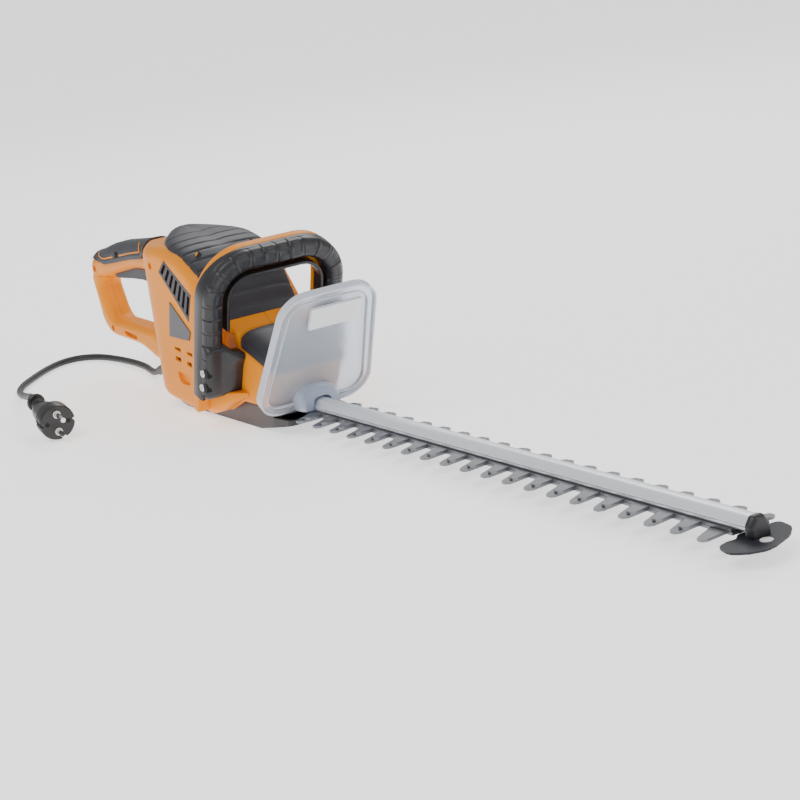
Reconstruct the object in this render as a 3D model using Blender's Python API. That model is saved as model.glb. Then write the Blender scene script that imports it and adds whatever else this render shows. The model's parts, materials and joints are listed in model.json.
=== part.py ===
"""Corded double-blade hedge trimmer, built as separate pieces with real joints.

Lengths below are millimetres and become metres when a mesh is made.
+X runs forward along the blades, +Y is the user's left, +Z is up.  The tool
stands on its black base cover at z = 0, and x = y = 0 is the middle of the
tool's box, cord and plug left out.
"""
import math

import bpy
from mathutils import Vector
from mathutils.geometry import delaunay_2d_cdt

MM = 0.001
GAP = 0.3                     # clearance between pieces that touch

# ---- driving dimensions -------------------------------------------------
PITCH = 30.0                  # from tooth to tooth
TOOTH_PAIRS = 20              # teeth along each edge of the lower blade
LAST_TOOTH_X = 486.0          # root centre of the tooth nearest the tip
TOOTH_LEAN = 6.0              # how far a tooth's tip is ahead of its root
TOOTH_REACH = 33.0            # tip of the lower teeth from the centre line
UPPER_REACH = 27.5            # tip of the upper teeth from the centre line
BLADE_STROKE = 7.5            # travel of each blade each way
BLADE_REST = 3.0              # upper teeth ahead of the lower ones at rest
LOWER_BLADE_Z = (14.2, 16.4)
UPPER_BLADE_Z = (16.7, 18.7)
BAR_Z = (19.0, 29.4)
BAR_X = (-150.0, 513.0)
BAR_HALF = 8.8
CAP_FRONT_X = 518.5
TIP_X = 541.0                 # front of the tip plate
REAR_X = -541.0               # back of the rear handle

MOTOR_X = -268.0
GEAR_X = -235.0
PINION_TEETH = 12
GEAR_TEETH = 54
GEAR_MODULE = 1.0
GEAR_Z = (27.0, 35.0)
ECCENTRIC_R = 10.0
ECCENTRIC_SWEEP = ECCENTRIC_R + BLADE_STROKE

BODY_HALF = 51.0              # half-width of the motor housing
NOSE_HALF = 38.6
HANDLE_HALF = 14.0            # half-width of the rear handle under its grip
WALL = 2.5
BASE_TOP = 21.6
BASE_HALF = 35.2
SKIRT_Y = 37.5                # inner face of the housing's skirt beside the base

BAIL_LEAN = math.atan(0.36)   # front handle leans forward
BAIL_FOOT_X = -200.5          # where the handle's plane meets z = 0
BAIL_HALF = 61.0              # centre of a leg from the centre line
BAIL_TOP = 168.0              # centre of the top bar, measured up the plane
BAIL_CORNER = 34.0

GUARD_LEAN = math.atan(0.6)
GUARD_FOOT = (-111.0, 20.0)   # x and z of the guard's lower edge
GUARD_HEIGHT = 134.0          # up its own plane
GUARD_HALF = (60.0, 47.0)     # half-width at the bottom and at the top
GUARD_THICK = 2.2

CORD_D = 7.0
RELIEF_ROOT = (-372.0, 0.0, 31.0)
CORD_EXIT = (-432.0, 0.0, 10.5)
PLUG_COLLAR = (-366.0, -165.0, 27.0)
PLUG_FACE = (-298.0, -172.0, 17.6)
PLUG_R = 17.5


# ---- materials ----------------------------------------------------------
def material(name, colour, roughness, metallic=0.0):
    found = bpy.data.materials.get(name)
    if found:
        return found
    made = bpy.data.materials.new(name)
    made.use_nodes = True
    shader = made.node_tree.nodes["Principled BSDF"]
    shader.inputs["Base Color"].default_value = (*colour, 1.0)
    shader.inputs["Roughness"].default_value = roughness
    shader.inputs["Metallic"].default_value = metallic
    return made


ORANGE = ("orange_plastic", (1.0, 0.37, 0.013), 0.42)
DARK = ("dark_plastic", (0.06, 0.06, 0.075), 0.5)
BLACK = ("black_plastic", (0.025, 0.025, 0.03), 0.5)
RUBBER = ("grip_rubber", (0.075, 0.075, 0.085), 0.75)
CLEAR = ("clear_plastic", (0.85, 0.9, 1.0), 0.12)
LABEL = ("label_film", (0.12, 0.12, 0.14), 0.35)
STEEL = ("ground_steel", (0.62, 0.62, 0.64), 0.3, 1.0)
ALUMINIUM = ("satin_aluminium", (0.88, 0.89, 0.91), 0.35, 1.0)
TIP_STEEL = ("painted_steel", (0.05, 0.05, 0.055), 0.45)
CASTING = ("die_casting", (0.55, 0.56, 0.58), 0.5, 1.0)
COPPER = ("copper", (0.72, 0.33, 0.18), 0.35, 1.0)
LAMINATION = ("lamination", (0.33, 0.33, 0.35), 0.45, 1.0)
CARBON = ("carbon", (0.03, 0.03, 0.03), 0.7)
WHITE = ("white_nylon", (0.85, 0.85, 0.82), 0.5)
BRASS = ("plated_brass", (0.75, 0.72, 0.66), 0.3, 1.0)
CORD_PVC = ("cord_rubber", (0.03, 0.03, 0.035), 0.55)


# ---- mesh helpers -------------------------------------------------------
def signed_volume(verts, faces):
    total = 0.0
    for face in faces:
        a = verts[face[0]]
        for second, third in zip(face[1:], face[2:]):
            total += a.dot(verts[second].cross(verts[third]))
    return total


def add_piece(name, verts, faces, finish):
    """Make a closed mesh object from millimetre points, faces turned out."""
    points = [Vector(v) for v in verts]
    if signed_volume(points, faces) < 0:
        faces = [tuple(reversed(face)) for face in faces]
    mesh = bpy.data.meshes.new(name)
    mesh.from_pydata([p * MM for p in points], [], faces)
    mesh.shade_smooth()
    mesh.set_sharp_from_angle(angle=math.radians(35))
    mesh.materials.append(material(*finish))
    piece = bpy.data.objects.new(name, mesh)
    bpy.context.collection.objects.link(piece)
    return piece


def arc(centre, radius, start, end, count):
    """Points on an arc in degrees, both ends included."""
    points = []
    for i in range(count + 1):
        angle = math.radians(start + (end - start) * i / count)
        points.append((centre[0] + radius * math.cos(angle),
                       centre[1] + radius * math.sin(angle)))
    return points


def circle(centre, radius, count=20):
    return arc(centre, radius, 0, 360, count)[:-1]


def rectangle(x0, x1, y0, y1):
    return [(x0, y0), (x1, y0), (x1, y1), (x0, y1)]


def rounded(corners, step=30.0):
    """Closed outline from (x, y, radius) corners, each one an arc."""
    outline = []
    count = len(corners)
    for i, (x, y, radius) in enumerate(corners):
        here = Vector((x, y))
        back = Vector(corners[i - 1][:2]) - here
        ahead = Vector(corners[(i + 1) % count][:2]) - here
        half = back.angle(ahead) / 2
        turn = math.pi - 2 * half
        if radius <= 0 or turn < 0.02:
            outline.append((x, y))
            continue
        reach = radius / math.tan(half)
        limit = 0.48 * min(back.length, ahead.length)
        if reach > limit:
            reach = limit
            radius = reach * math.tan(half)
        first = here + back.normalized() * reach
        last = here + ahead.normalized() * reach
        middle = (back.normalized() + ahead.normalized()).normalized()
        centre = here + middle * (radius / math.sin(half))
        pieces = max(1, round(math.degrees(turn) / step))
        a = first - centre
        b = last - centre
        sweep = math.atan2(a.x * b.y - a.y * b.x, a.dot(b))
        for k in range(pieces + 1):
            t = sweep * k / pieces
            spun = Vector((a.x * math.cos(t) - a.y * math.sin(t),
                           a.x * math.sin(t) + a.y * math.cos(t)))
            outline.append(tuple(centre + spun))
    return outline


def inside(point, loops):
    """Even-odd test of a point against all the loops together."""
    x, y = point
    within = False
    for loop in loops:
        previous = loop[-1]
        for current in loop:
            crosses = (current[1] > y) != (previous[1] > y)
            if crosses:
                t = (y - current[1]) / (previous[1] - current[1])
                if x < current[0] + t * (previous[0] - current[0]):
                    within = not within
            previous = current
    return within


def triangulate(loops, extra=()):
    """Triangles that fill the loops, holes left open; keeps the point order."""
    points = [Vector(p) for loop in loops for p in loop]
    edges = []
    start = 0
    for loop in loops:
        size = len(loop)
        edges += [(start + i, start + (i + 1) % size) for i in range(size)]
        start += size
    points += [Vector(p) for p in extra]
    result = delaunay_2d_cdt(points, edges, [], 0, 1e-5)
    flat, triangles, origins = result[0], result[2], result[3]
    index = [source[0] for source in origins]
    kept = []
    for triangle in triangles:
        a, b, c = (flat[i] for i in triangle)
        area = abs((b - a).cross(c - a)) / 2
        if area > 1e-3 and inside((a + b + c) / 3, loops):
            kept.append(tuple(index[i] for i in triangle))
    return kept


def extrude(name, loops, place, low, high, finish):
    """Prism of loops with holes; place(u, v, w) gives the point in space."""
    flat = [p for loop in loops for p in loop]
    count = len(flat)
    verts = [place(u, v, low) for u, v in flat]
    verts += [place(u, v, high) for u, v in flat]
    caps = triangulate(loops)
    faces = [tuple(reversed(t)) for t in caps]
    faces += [tuple(i + count for i in t) for t in caps]
    # the caps' winding tells which way each side wall has to turn
    directed = {(t[i], t[(i + 1) % 3]) for t in caps for i in range(3)}
    start = 0
    for loop in loops:
        size = len(loop)
        for i in range(size):
            a = start + i
            b = start + (i + 1) % size
            if (b, a) in directed:
                a, b = b, a
            faces.append((a, b, b + count, a + count))
        start += size
    return add_piece(name, verts, faces, finish)


def along_z(u, v, w):
    return (u, v, w)


def along_y(u, v, w):
    return (u, w, v)


def along_x(u, v, w):
    return (w, u, v)


def revolve(name, profile, centre, axis, finish, count=20):
    """Turn a closed (radius, height) profile about an axis through centre."""
    direction = Vector(axis).normalized()
    side = direction.orthogonal().normalized()
    other = direction.cross(side)
    verts = []
    rings = []
    for radius, height in profile:
        base = Vector(centre) + direction * height
        if radius < 1e-6:
            rings.append([len(verts)] * count)
            verts.append(base)
            continue
        rings.append(list(range(len(verts), len(verts) + count)))
        for k in range(count):
            angle = 2 * math.pi * k / count
            verts.append(base + side * (radius * math.cos(angle))
                         + other * (radius * math.sin(angle)))
    faces = []
    for i, ring in enumerate(rings):
        following = rings[(i + 1) % len(rings)]
        if profile[i][0] < 1e-6 and profile[(i + 1) % len(profile)][0] < 1e-6:
            continue
        for k in range(count):
            n = (k + 1) % count
            quad = (ring[k], ring[n], following[n], following[k])
            face = tuple(dict.fromkeys(quad))
            if len(face) > 2:
                faces.append(face)
    return add_piece(name, verts, faces, finish)


def ring_profile(inner, outer, low, high):
    return [(inner, low), (outer, low), (outer, high), (inner, high)]


def rod_profile(steps):
    """Solid turned part from (radius, low, high) steps, lowest first."""
    profile = [(0.0, steps[0][1])]
    for radius, low, high in steps:
        profile += [(radius, low), (radius, high)]
    profile.append((0.0, steps[-1][2]))
    return profile


def loft(name, sections, finish):
    """Bridge equal closed sections and cap the two ends."""
    size = len(sections[0])
    verts = [point for section in sections for point in section]
    faces = []
    for j in range(len(sections) - 1):
        for i in range(size):
            n = (i + 1) % size
            a = j * size
            b = a + size
            faces.append((a + i, a + n, b + n, b + i))
    last = (len(sections) - 1) * size
    faces.append(tuple(reversed(range(size))))
    faces.append(tuple(last + i for i in range(size)))
    return add_piece(name, verts, faces, finish)


def combine(piece, operands, operation):
    """Exact Booleans; the operands are helpers and stay out of the build."""
    for operand in operands:
        operand.hide_render = True
        operand.display_type = 'WIRE'
        step = piece.modifiers.new(operand.name, 'BOOLEAN')
        step.operation = operation
        step.solver = 'EXACT'
        step.object = operand


def subtract(piece, cutters):
    combine(piece, cutters, 'DIFFERENCE')


def unite(piece, additions):
    combine(piece, additions, 'UNION')


def box(name, x_range, y_range, z_range, finish):
    return extrude(name, [rectangle(*x_range, *y_range)], along_z, *z_range, finish)


def rod(name, start, end, radius, finish, count=16):
    """Plain round bar between two points."""
    axis = Vector(end) - Vector(start)
    profile = rod_profile([(radius, 0.0, axis.length)])
    return revolve(name, profile, start, axis, finish, count)


def moved_along(start, axis, distance):
    return Vector(start) + Vector(axis).normalized() * distance


def smooth_step(value):
    t = min(1.0, max(0.0, value))
    return t * t * (3 - 2 * t)


# ---- motor housing and rear handle -------------------------------------
HOUSING_OUTLINE = [
    (REAR_X, 102.0, 30.0), (REAR_X, 124.0, 16.0), (-470.0, 142.8, 160.0),
    (-385.0, 151.8, 60.0), (-362.0, 157.0, 20.0), (-285.0, 162.0, 40.0),
    (-246.0, 156.0, 30.0), (-212.0, 139.0, 20.0), (-179.0, 101.0, 12.0),
    (-163.0, 90.0, 4.0), (-160.0, 77.0, 3.0), (-103.0, 58.0, 5.0),
    (-125.0, 24.5, 0.0),
    (-126.5, 22.0, 0.0), (-172.0, 22.0, 4.0), (-200.0, 10.0, 20.0),
    (-262.0, 6.0, 60.0), (-337.0, 15.0, 6.0), (-346.0, 20.0, 6.0),
    (-365.0, 23.0, 25.0), (-408.0, 29.0, 30.0), (-440.0, 39.0, 60.0),
    (-524.0, 43.0, 30.0)]
HAND_OPENING = [
    (-523.0, 100.0, 8.0), (-506.0, 60.0, 18.0), (-380.0, 57.0, 20.0),
    (-376.0, 119.2, 9.0), (-387.4, 119.3, 0.0), (-389.0, 119.3, 0.0),
    (-430.0, 120.0, 60.0), (-480.0, 110.0, 30.0), (-492.4, 107.1, 0.0),
    (-494.0, 106.7, 0.0)]
TRIGGER_SLOT = (-493.2, -388.2, 102.0, 126.0)
TRIGGER_HALF = 7.2
NOSE_STEP = 8.0               # length over which the housing narrows


def bottom_is_open(x, z):
    return z < 22.6 and x > -340.0


def in_trigger_slot(x, z):
    low_x, high_x, low_z, high_z = TRIGGER_SLOT
    return low_x < x < high_x and low_z < z < high_z


def nose_start(z):
    """The housing narrows here, just behind the front handle's boots."""
    return BAIL_FOOT_X + z * math.tan(BAIL_LEAN) - 19.0


def half_width(x, z):
    """Half-width of the orange shells before their edges are rounded."""
    rear = smooth_step((x + 398.0) / 96.0)
    width = HANDLE_HALF + (BODY_HALF - HANDLE_HALF) * rear
    waist = smooth_step((x + 222.0) / 14.0)
    width -= 4.0 * waist
    nose = smooth_step((x - nose_start(z)) / NOSE_STEP)
    if z > 88.0:
        nose *= smooth_step((94.0 - z) / 6.0)
    return width + (NOSE_HALF - width) * nose


def edge_radius(x, z):
    if x < -400.0 and z < 66.0:
        return 7.0
    if x < -503.0 and z < 104.0:
        return 8.0
    if x > nose_start(z) and z < 92.0:
        return 5.0
    if bottom_is_open(x, z):
        return 8.0
    return 12.0 - 2.0 * smooth_step((x + 400.0) / 60.0)


def edge_distance(point, loops):
    nearest = 1e9
    for loop in loops:
        previous = Vector(loop[-1])
        for raw in loop:
            current = Vector(raw)
            span = current - previous
            t = (point - previous).dot(span) / max(span.length_squared, 1e-9)
            t = min(1.0, max(0.0, t))
            nearest = min(nearest, (point - previous - span * t).length)
            previous = current
    return nearest


def divided(loop, longest):
    """The same outline with no side longer than the given length."""
    points = []
    for i, raw in enumerate(loop):
        start = Vector(raw)
        end = Vector(loop[(i + 1) % len(loop)])
        parts = max(1, math.ceil((end - start).length / longest))
        points += [tuple(start.lerp(end, k / parts)) for k in range(parts)]
    return points


def inward_normals(loop, loops):
    normals = []
    size = len(loop)
    for i in range(size):
        before = Vector(loop[i]) - Vector(loop[i - 1])
        after = Vector(loop[(i + 1) % size]) - Vector(loop[i])
        along = (before.normalized() + after.normalized()).normalized()
        normal = Vector((-along.y, along.x))
        probe = Vector(loop[i]) + normal * 0.5
        if not inside(probe, loops):
            normal = -normal
        normals.append(normal)
    return normals


def shell_seam(x, z):
    """How far from the centre line the shell's rim lies."""
    if bottom_is_open(x, z):
        return min(SKIRT_Y, half_width(x, z) - WALL)
    if in_trigger_slot(x, z):
        return TRIGGER_HALF + 0.9
    return 0.15


def outer_height(x, z, distance):
    radius = edge_radius(x, z)
    width = half_width(x, z)
    if distance >= radius:
        return width
    return width - radius + math.sqrt(radius ** 2 - (radius - distance) ** 2)


def inner_height(x, z, distance):
    if z < 23.5 and x > -341.0:
        return min(SKIRT_Y, half_width(x, z) - WALL)
    height = max(outer_height(x, z, distance) - WALL, 2.0)
    if in_trigger_slot(x, z):
        height = max(height, TRIGGER_HALF + 0.9)
    return height


def grid_points(loops, spacing, margin):
    """Points of a staggered grid that keep clear of the loops."""
    xs = [p[0] for loop in loops for p in loop]
    zs = [p[1] for loop in loops for p in loop]
    points = []
    row = 0
    z = min(zs) + spacing / 2
    while z < max(zs):
        x = min(xs) + (spacing / 2 if row % 2 else 0.0)
        while x < max(xs):
            point = Vector((x, z))
            clear = edge_distance(point, loops) > margin
            near_step = abs(x - nose_start(z) - NOSE_STEP / 2) < spacing * 0.7
            if inside(point, loops) and clear and not (near_step and z < 98.0):
                points.append(point)
            x += spacing
        z += spacing
        row += 1
    for k in range(9):
        z = 27.0 + 7.6 * k
        points.append(Vector((nose_start(z), z)))
        points.append(Vector((nose_start(z) + NOSE_STEP / 2, z)))
        points.append(Vector((nose_start(z) + NOSE_STEP, z)))
    return points


def shell_side(name, side):
    """One moulded half: outer skin, inner skin and the rim that joins them."""
    loops = [divided(rounded(HOUSING_OUTLINE, 36), 20.0),
             divided(rounded(HAND_OPENING, 36), 20.0)]
    outline = [p for loop in loops for p in loop]
    normals = [n for loop in loops for n in inward_normals(loop, loops)]
    verts = []

    def add(point, height):
        verts.append((point[0], side * height, point[1]))
        return len(verts) - 1

    extra = []
    for factor in (0.14, 0.5, 1.0):
        for point, normal in zip(outline, normals):
            offset = edge_radius(*point) * factor
            moved = Vector(point) + normal * offset
            room = edge_distance(moved, loops)
            if inside(moved, loops) and room > offset * 0.9:
                extra.append(moved)
    extra += grid_points(loops, 19.0, 19.0)

    # outer skin: rim line, edge line, rounded edge, then the side
    rim = [add(p, shell_seam(*p)) for p in outline]
    edge = [add(p, max(outer_height(*p, 0.0), shell_seam(*p) + 0.4))
            for p in outline]
    heights = [max(outer_height(*p, edge_distance(p, loops)),
                   shell_seam(*p) + 0.8) for p in extra]
    outer = edge + [add(p, height) for p, height in zip(extra, heights)]
    faces = [tuple(outer[i] for i in t) for t in triangulate(loops, extra)]

    # inner skin starts a wall's thickness inside the outline
    inner_outline = [tuple(Vector(p) + n * WALL)
                     for p, n in zip(outline, normals)]
    first = len(loops[0])
    inner_loops = [inner_outline[:first], inner_outline[first:]]
    inner_rim = [add(p, shell_seam(*source))
                 for p, source in zip(inner_outline, outline)]
    inner_extra = [p for p in extra if edge_distance(p, loops) > WALL + 2.0]
    inner = inner_rim + [add(p, inner_height(*p, edge_distance(p, loops) - WALL))
                         for p in inner_extra]
    inner_faces = [tuple(inner[i] for i in reversed(t))
                   for t in triangulate(inner_loops, inner_extra)]

    directed = {(t[i], t[(i + 1) % 3]) for t in faces for i in range(3)}
    start = 0
    for loop in loops:
        size = len(loop)
        for i in range(size):
            a = start + i
            b = start + (i + 1) % size
            if (edge[b], edge[a]) in directed:
                a, b = b, a
            faces.append((edge[b], edge[a], rim[a], rim[b]))
            faces.append((rim[b], rim[a], inner_rim[a], inner_rim[b]))
        start += size
    faces += inner_faces
    return add_piece(name, verts, faces, ORANGE)


def roof(x):
    """Height of the housing's top outline at x."""
    loop = rounded(HOUSING_OUTLINE, 36)
    x = min(x, max(p[0] for p in loop) - 0.5)
    heights = []
    for (x0, z0), (x1, z1) in zip(loop, loop[1:] + loop[:1]):
        if min(x0, x1) <= x <= max(x0, x1) and abs(x1 - x0) > 1e-6:
            heights.append(z0 + (z1 - z0) * (x - x0) / (x1 - x0))
    return max(heights)


VENT = [(-283.0, 139.0), (-233.0, 95.0), (-220.0, 122.0), (-268.0, 151.0)]
VENT_SLOTS = 7


def shrunk(corners, amount):
    middle = sum((Vector(p) for p in corners), Vector((0, 0))) / len(corners)
    return [tuple(middle + (Vector(p) - middle) * amount) for p in corners]


def vent_slots():
    """Slots across the grille, each a strip between its two long sides."""
    a, b, c, d = (Vector(p) for p in VENT)
    slots = []
    for i in range(VENT_SLOTS):
        t0 = (i + 0.28) / VENT_SLOTS
        t1 = (i + 0.78) / VENT_SLOTS
        low = [a.lerp(b, t) for t in (t0, t1)]
        high = [d.lerp(c, t) for t in (t0, t1)]
        slots.append([tuple(low[0].lerp(high[0], 0.14)),
                      tuple(low[1].lerp(high[1], 0.14)),
                      tuple(low[1].lerp(high[1], 0.86)),
                      tuple(low[0].lerp(high[0], 0.86))])
    return slots


def build_housing():
    right = shell_side("housing_right", -1)
    left = shell_side("housing_left", 1)
    bar_entry = box("bar_entry", (-158, -100), (-9.4, 9.4), (17, 30.2), ORANGE)
    down = Vector(CORD_EXIT) - Vector(RELIEF_ROOT)
    relief_bore = rod("relief_bore", moved_along(RELIEF_ROOT, down, -6),
                      moved_along(CORD_EXIT, down, 2), 6.7, ORANGE)
    for side, shell, label in ((-1, right, "right"), (1, left, "left")):
        window = extrude("vent_window_" + label, [shrunk(VENT, 1.015)], along_y,
                         44 * side, 56 * side, ORANGE)
        subtract(shell, [bar_entry, relief_bore, window])
        extrude("vent_grille_" + label, [shrunk(VENT, 0.995)] + vent_slots(),
                along_y, (BODY_HALF - 2.4) * side, BODY_HALF * side, DARK)
    plate = [(-268, 111), (-280, 76.5), (-238, 76.5), (-232, 85)]
    extrude("rating_plate", [plate], along_y,
            -BODY_HALF - 0.9, -BODY_HALF - 0.3, LABEL)


# ---- covers -------------------------------------------------------------
def arch(x, base, crest, half, thick, count=10):
    """Section of an arched shell: outer arch, then the inner one back."""
    section = []
    for inset, order in ((0.0, range(count + 1)),
                         (thick, range(count, -1, -1))):
        for k in order:
            angle = math.pi * k / count
            reach = math.copysign(abs(math.cos(angle)) ** 0.55, math.cos(angle))
            rise = math.sin(angle) ** 0.7
            section.append((x, (half - inset) * reach,
                            base + (crest - inset - base) * rise))
    return section


MOTOR_CREST = [(-348.0, 161.5), (-338.0, 167.0), (-318.0, 172.5), (-300.0, 171.2),
               (-288.0, 169.3), (-268.0, 166.4), (-253.0, 162.5), (-242.5, 159.0),
               (-235.6, 155.8), (-220.0, 147.5), (-205.0, 136.5), (-190.0, 121.0),
               (-180.0, 109.5), (-176.5, 104.0)]
MOTOR_COVER_HALF = [(-348.0, 9.0), (-343.0, 14.0), (-335.0, 20.0), (-320.0, 27.0),
                    (-300.0, 34.5), (-285.0, 39.0), (-268.0, 43.5), (-215.0, 44.0),
                    (-176.0, 37.0)]
GEAR_CREST = [(-158.0, 91.0), (-148.0, 90.0), (-122.0, 81.0), (-108.0, 73.5),
              (-103.5, 66.0)]


def polyline_value(knots, x):
    for (x0, v0), (x1, v1) in zip(knots, knots[1:]):
        if x <= x1:
            return v0 + (v1 - v0) * max(0.0, (x - x0) / (x1 - x0))
    return knots[-1][1]


def stations(knots, spacing):
    """Every knot's x and even steps between them."""
    result = []
    for (x0, _), (x1, _) in zip(knots, knots[1:]):
        steps = max(1, math.ceil((x1 - x0) / spacing))
        result += [x0 + (x1 - x0) * k / steps for k in range(steps)]
    return result + [knots[-1][0]]


def build_covers():
    sections = []
    for x in stations(MOTOR_CREST, 10.0):
        crest = polyline_value(MOTOR_CREST, x)
        half = polyline_value(MOTOR_COVER_HALF, x)
        sections.append(arch(x, roof(x) + 0.6, crest, half, 2.4))
    loft("motor_cover", sections, DARK)

    sections = []
    for x in stations(GEAR_CREST, 10.0):
        crest = polyline_value(GEAR_CREST, x)
        sections.append(arch(x, roof(x) + 0.6, crest, NOSE_HALF - 1.0, 2.4, 8))
    loft("gear_cover", sections, DARK)


BASE_PLAN = [(-328.0, -30.0, 8.0), (-300.0, -BASE_HALF, 30.0),
             (-120.0, -BASE_HALF, 30.0), (-92.0, -32.0, 6.0),
             (-92.0, 32.0, 6.0), (-120.0, BASE_HALF, 30.0),
             (-300.0, BASE_HALF, 30.0), (-328.0, 30.0, 8.0)]


def build_base():
    """Tray under the gears; its low front lets the blades' teeth pass."""
    tray = extrude("base_cover", [rounded(BASE_PLAN)], along_z, 0, BASE_TOP, BLACK)
    room = [(-325.5, -27.8, 6.0), (-300.0, 2.5 - BASE_HALF, 30.0),
            (-148.0, 2.5 - BASE_HALF, 0.0), (-148.0, BASE_HALF - 2.5, 0.0),
            (-300.0, BASE_HALF - 2.5, 30.0), (-325.5, 27.8, 6.0)]
    main_room = extrude("tray_room", [rounded(room)], along_z, 2.5, 40, BLACK)
    front_room = extrude("tray_front_room", [[(-152, 2.6), (-146, 3.2),
                         (-94.6, 11.6), (-94.6, 40), (-152, 40)]], along_y,
                         -29.5, 29.5, BLACK)
    mouth = box("tray_mouth", (-120, -80), (-40, 40), (13.7, 40), BLACK)
    toe = extrude("tray_toe", [[(-147, -2), (-147, 0.001), (-80, 10.9), (-80, -2)]],
                  along_y, -40, 40, BLACK)
    subtract(tray, [main_room, front_room, mouth, toe])
    plate_bores = [circle((x, 0), 2.5, 10) for x in (-290, -160)]
    extrude("base_plate", [rectangle(-300, -134, -28.5, 28.5)] + plate_bores,
            along_z, 9, 12, STEEL)


# ---- front handle -------------------------------------------------------
def on_bail(y, up, depth):
    """Point on the front handle's plane; depth is toward the blades."""
    return (BAIL_FOOT_X + up * math.sin(BAIL_LEAN) + depth * math.cos(BAIL_LEAN),
            y, up * math.cos(BAIL_LEAN) - depth * math.sin(BAIL_LEAN))


def bail_path(leg_end, count=7):
    """Stations up one leg, over the top and down the other leg."""
    knee = BAIL_TOP - BAIL_CORNER
    path = [((-BAIL_HALF, leg_end), (-1, 0)), ((-BAIL_HALF, knee * 0.82), (-1, 0))]
    for centre, start in ((-1, 180), (1, 90)):
        for k in range(count + 1):
            angle = math.radians(start - 90 * k / count)
            out = (math.cos(angle), math.sin(angle))
            middle = (centre * (BAIL_HALF - BAIL_CORNER) + BAIL_CORNER * out[0],
                      knee + BAIL_CORNER * out[1])
            path.append((middle, out))
    path += [((BAIL_HALF, knee * 0.82), (1, 0)), ((BAIL_HALF, leg_end), (1, 0))]
    return path


def bail_sweep(name, section, leg_end, finish):
    """Sweep (outward, depth) corners around the handle's arch."""
    sections = []
    for (y, up), (out_y, out_up) in bail_path(leg_end):
        sections.append([on_bail(y + out_y * out, up + out_up * out, depth)
                         for out, depth in section])
    return loft(name, sections, finish)


def screw(name, seat, axis, head_radius, head_height, length, host):
    """A pan-head screw sunk in a bore of its host, head toward axis."""
    shank = head_radius * 0.45
    outward = Vector(axis)
    hole = rod_profile([(shank + 0.3, -length - 0.5, 0.0),
                        (head_radius + 0.4, 0.0, head_height + 20.0)])
    cutter = revolve(name + "_bore", hole, seat, outward, STEEL, 12)
    subtract(host, [cutter])
    solid = rod_profile([(shank, -length, 0.3),
                         (head_radius, 0.3, head_height)])
    revolve(name, solid, seat, outward, STEEL, 12)


def build_front_handle():
    back = rounded([(-12, -2.15, 0), (-12, -14, 4), (12, -14, 4), (12, -2.15, 0)], 45)
    bail_sweep("front_handle_back", back, 18.0, ORANGE)

    front = rounded([(-7, -1.85, 0), (12, -1.85, 0), (12, 14, 5), (-7, 14, 4)], 45)
    grip = bail_sweep("front_handle_grip", front, 60.0, BLACK)
    boot = [(-190.4, 33), (-169, 33), (-156, 62), (-151, 73), (-156, 82), (-171.4, 86)]
    for side, label in ((-1, "right"), (1, "left")):
        block = extrude("boot_" + label, [rounded([(x, z, 4) for x, z in boot], 45)],
                        along_y, 39.2 * side, 73.0 * side, BLACK)
        unite(grip, [block])
    for side, label in ((-1, "right"), (1, "left")):
        for (x, z), place in (((-172, 58), "upper"), ((-178, 44), "lower")):
            screw("handle_screw_%s_%s" % (label, place), (x, 68 * side, z),
                  (0, side, 0), 3.6, 3.4, 12.0, grip)

    lever = rounded([(-13.6, -1.85, 0), (-10.4, -1.85, 0), (-10.4, 11, 1.0),
                     (-13.6, 11, 1.0)], 45)
    bail_sweep("front_switch_lever", lever, 104.0, RUBBER)


# ---- rear handle --------------------------------------------------------
GRIP_EDGE = [(-530.0, 128.0), (-511.0, 124.0), (-490.0, 121.0), (-458.0, 126.0),
             (-429.0, 131.0), (-396.0, 135.0), (-388.0, 141.0)]
TRIGGER = [(-489, 113), (-487.5, 105.6), (-470, 106.4), (-446, 108.2), (-421, 109),
           (-400, 108), (-393, 106.6), (-390.8, 110), (-390.8, 121),
           (-412, 123), (-450, 118.5), (-485, 116)]


def saddle_section(x, thick):
    """Rubber saddle over the handle's rounded top, open underneath."""
    top = roof(x)
    low = min(polyline_value(GRIP_EDGE, x), top - 6.0)
    outline = []
    clearance = GAP + 1.0 * smooth_step((x + 440.0) / 25.0)
    for inset, turn in ((clearance + thick, 1), (clearance, -1)):
        half = half_width(x, top - 14.0)
        radius = edge_radius(x, top - 14.0)
        points = [(half + inset, low)]
        for k in range(5):
            angle = math.radians(22.5 * k)
            reach = half - radius + (radius + inset) * math.cos(angle)
            rise = top - radius + (radius + inset) * math.sin(angle)
            points.append((reach, max(rise, low + 0.5 + 0.4 * k)))
        mirrored = [(-y, z) for y, z in reversed(points)]
        whole = points + mirrored
        outline += whole if turn > 0 else whole[::-1]
    return [(x, y, z) for y, z in outline]


def build_rear_handle():
    sections = [saddle_section(x, 2.1) for x in stations(GRIP_EDGE, 12.0)]
    loft("rear_grip", sections, RUBBER)
    extrude("trigger", [rounded([(x, z, 1.5) for x, z in TRIGGER], 60)], along_y,
            -TRIGGER_HALF, TRIGGER_HALF, RUBBER)
    box("rear_switch", (-476, -452), (-6.5, 6.5), (123.6, 132.5), BLACK)


# ---- hand guard ---------------------------------------------------------
def on_guard(y, up, depth):
    """Point of the guard's plane; depth is toward the blades."""
    return (GUARD_FOOT[0] + up * math.sin(GUARD_LEAN) + depth * math.cos(GUARD_LEAN),
            y,
            GUARD_FOOT[1] + up * math.cos(GUARD_LEAN) - depth * math.sin(GUARD_LEAN))


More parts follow.
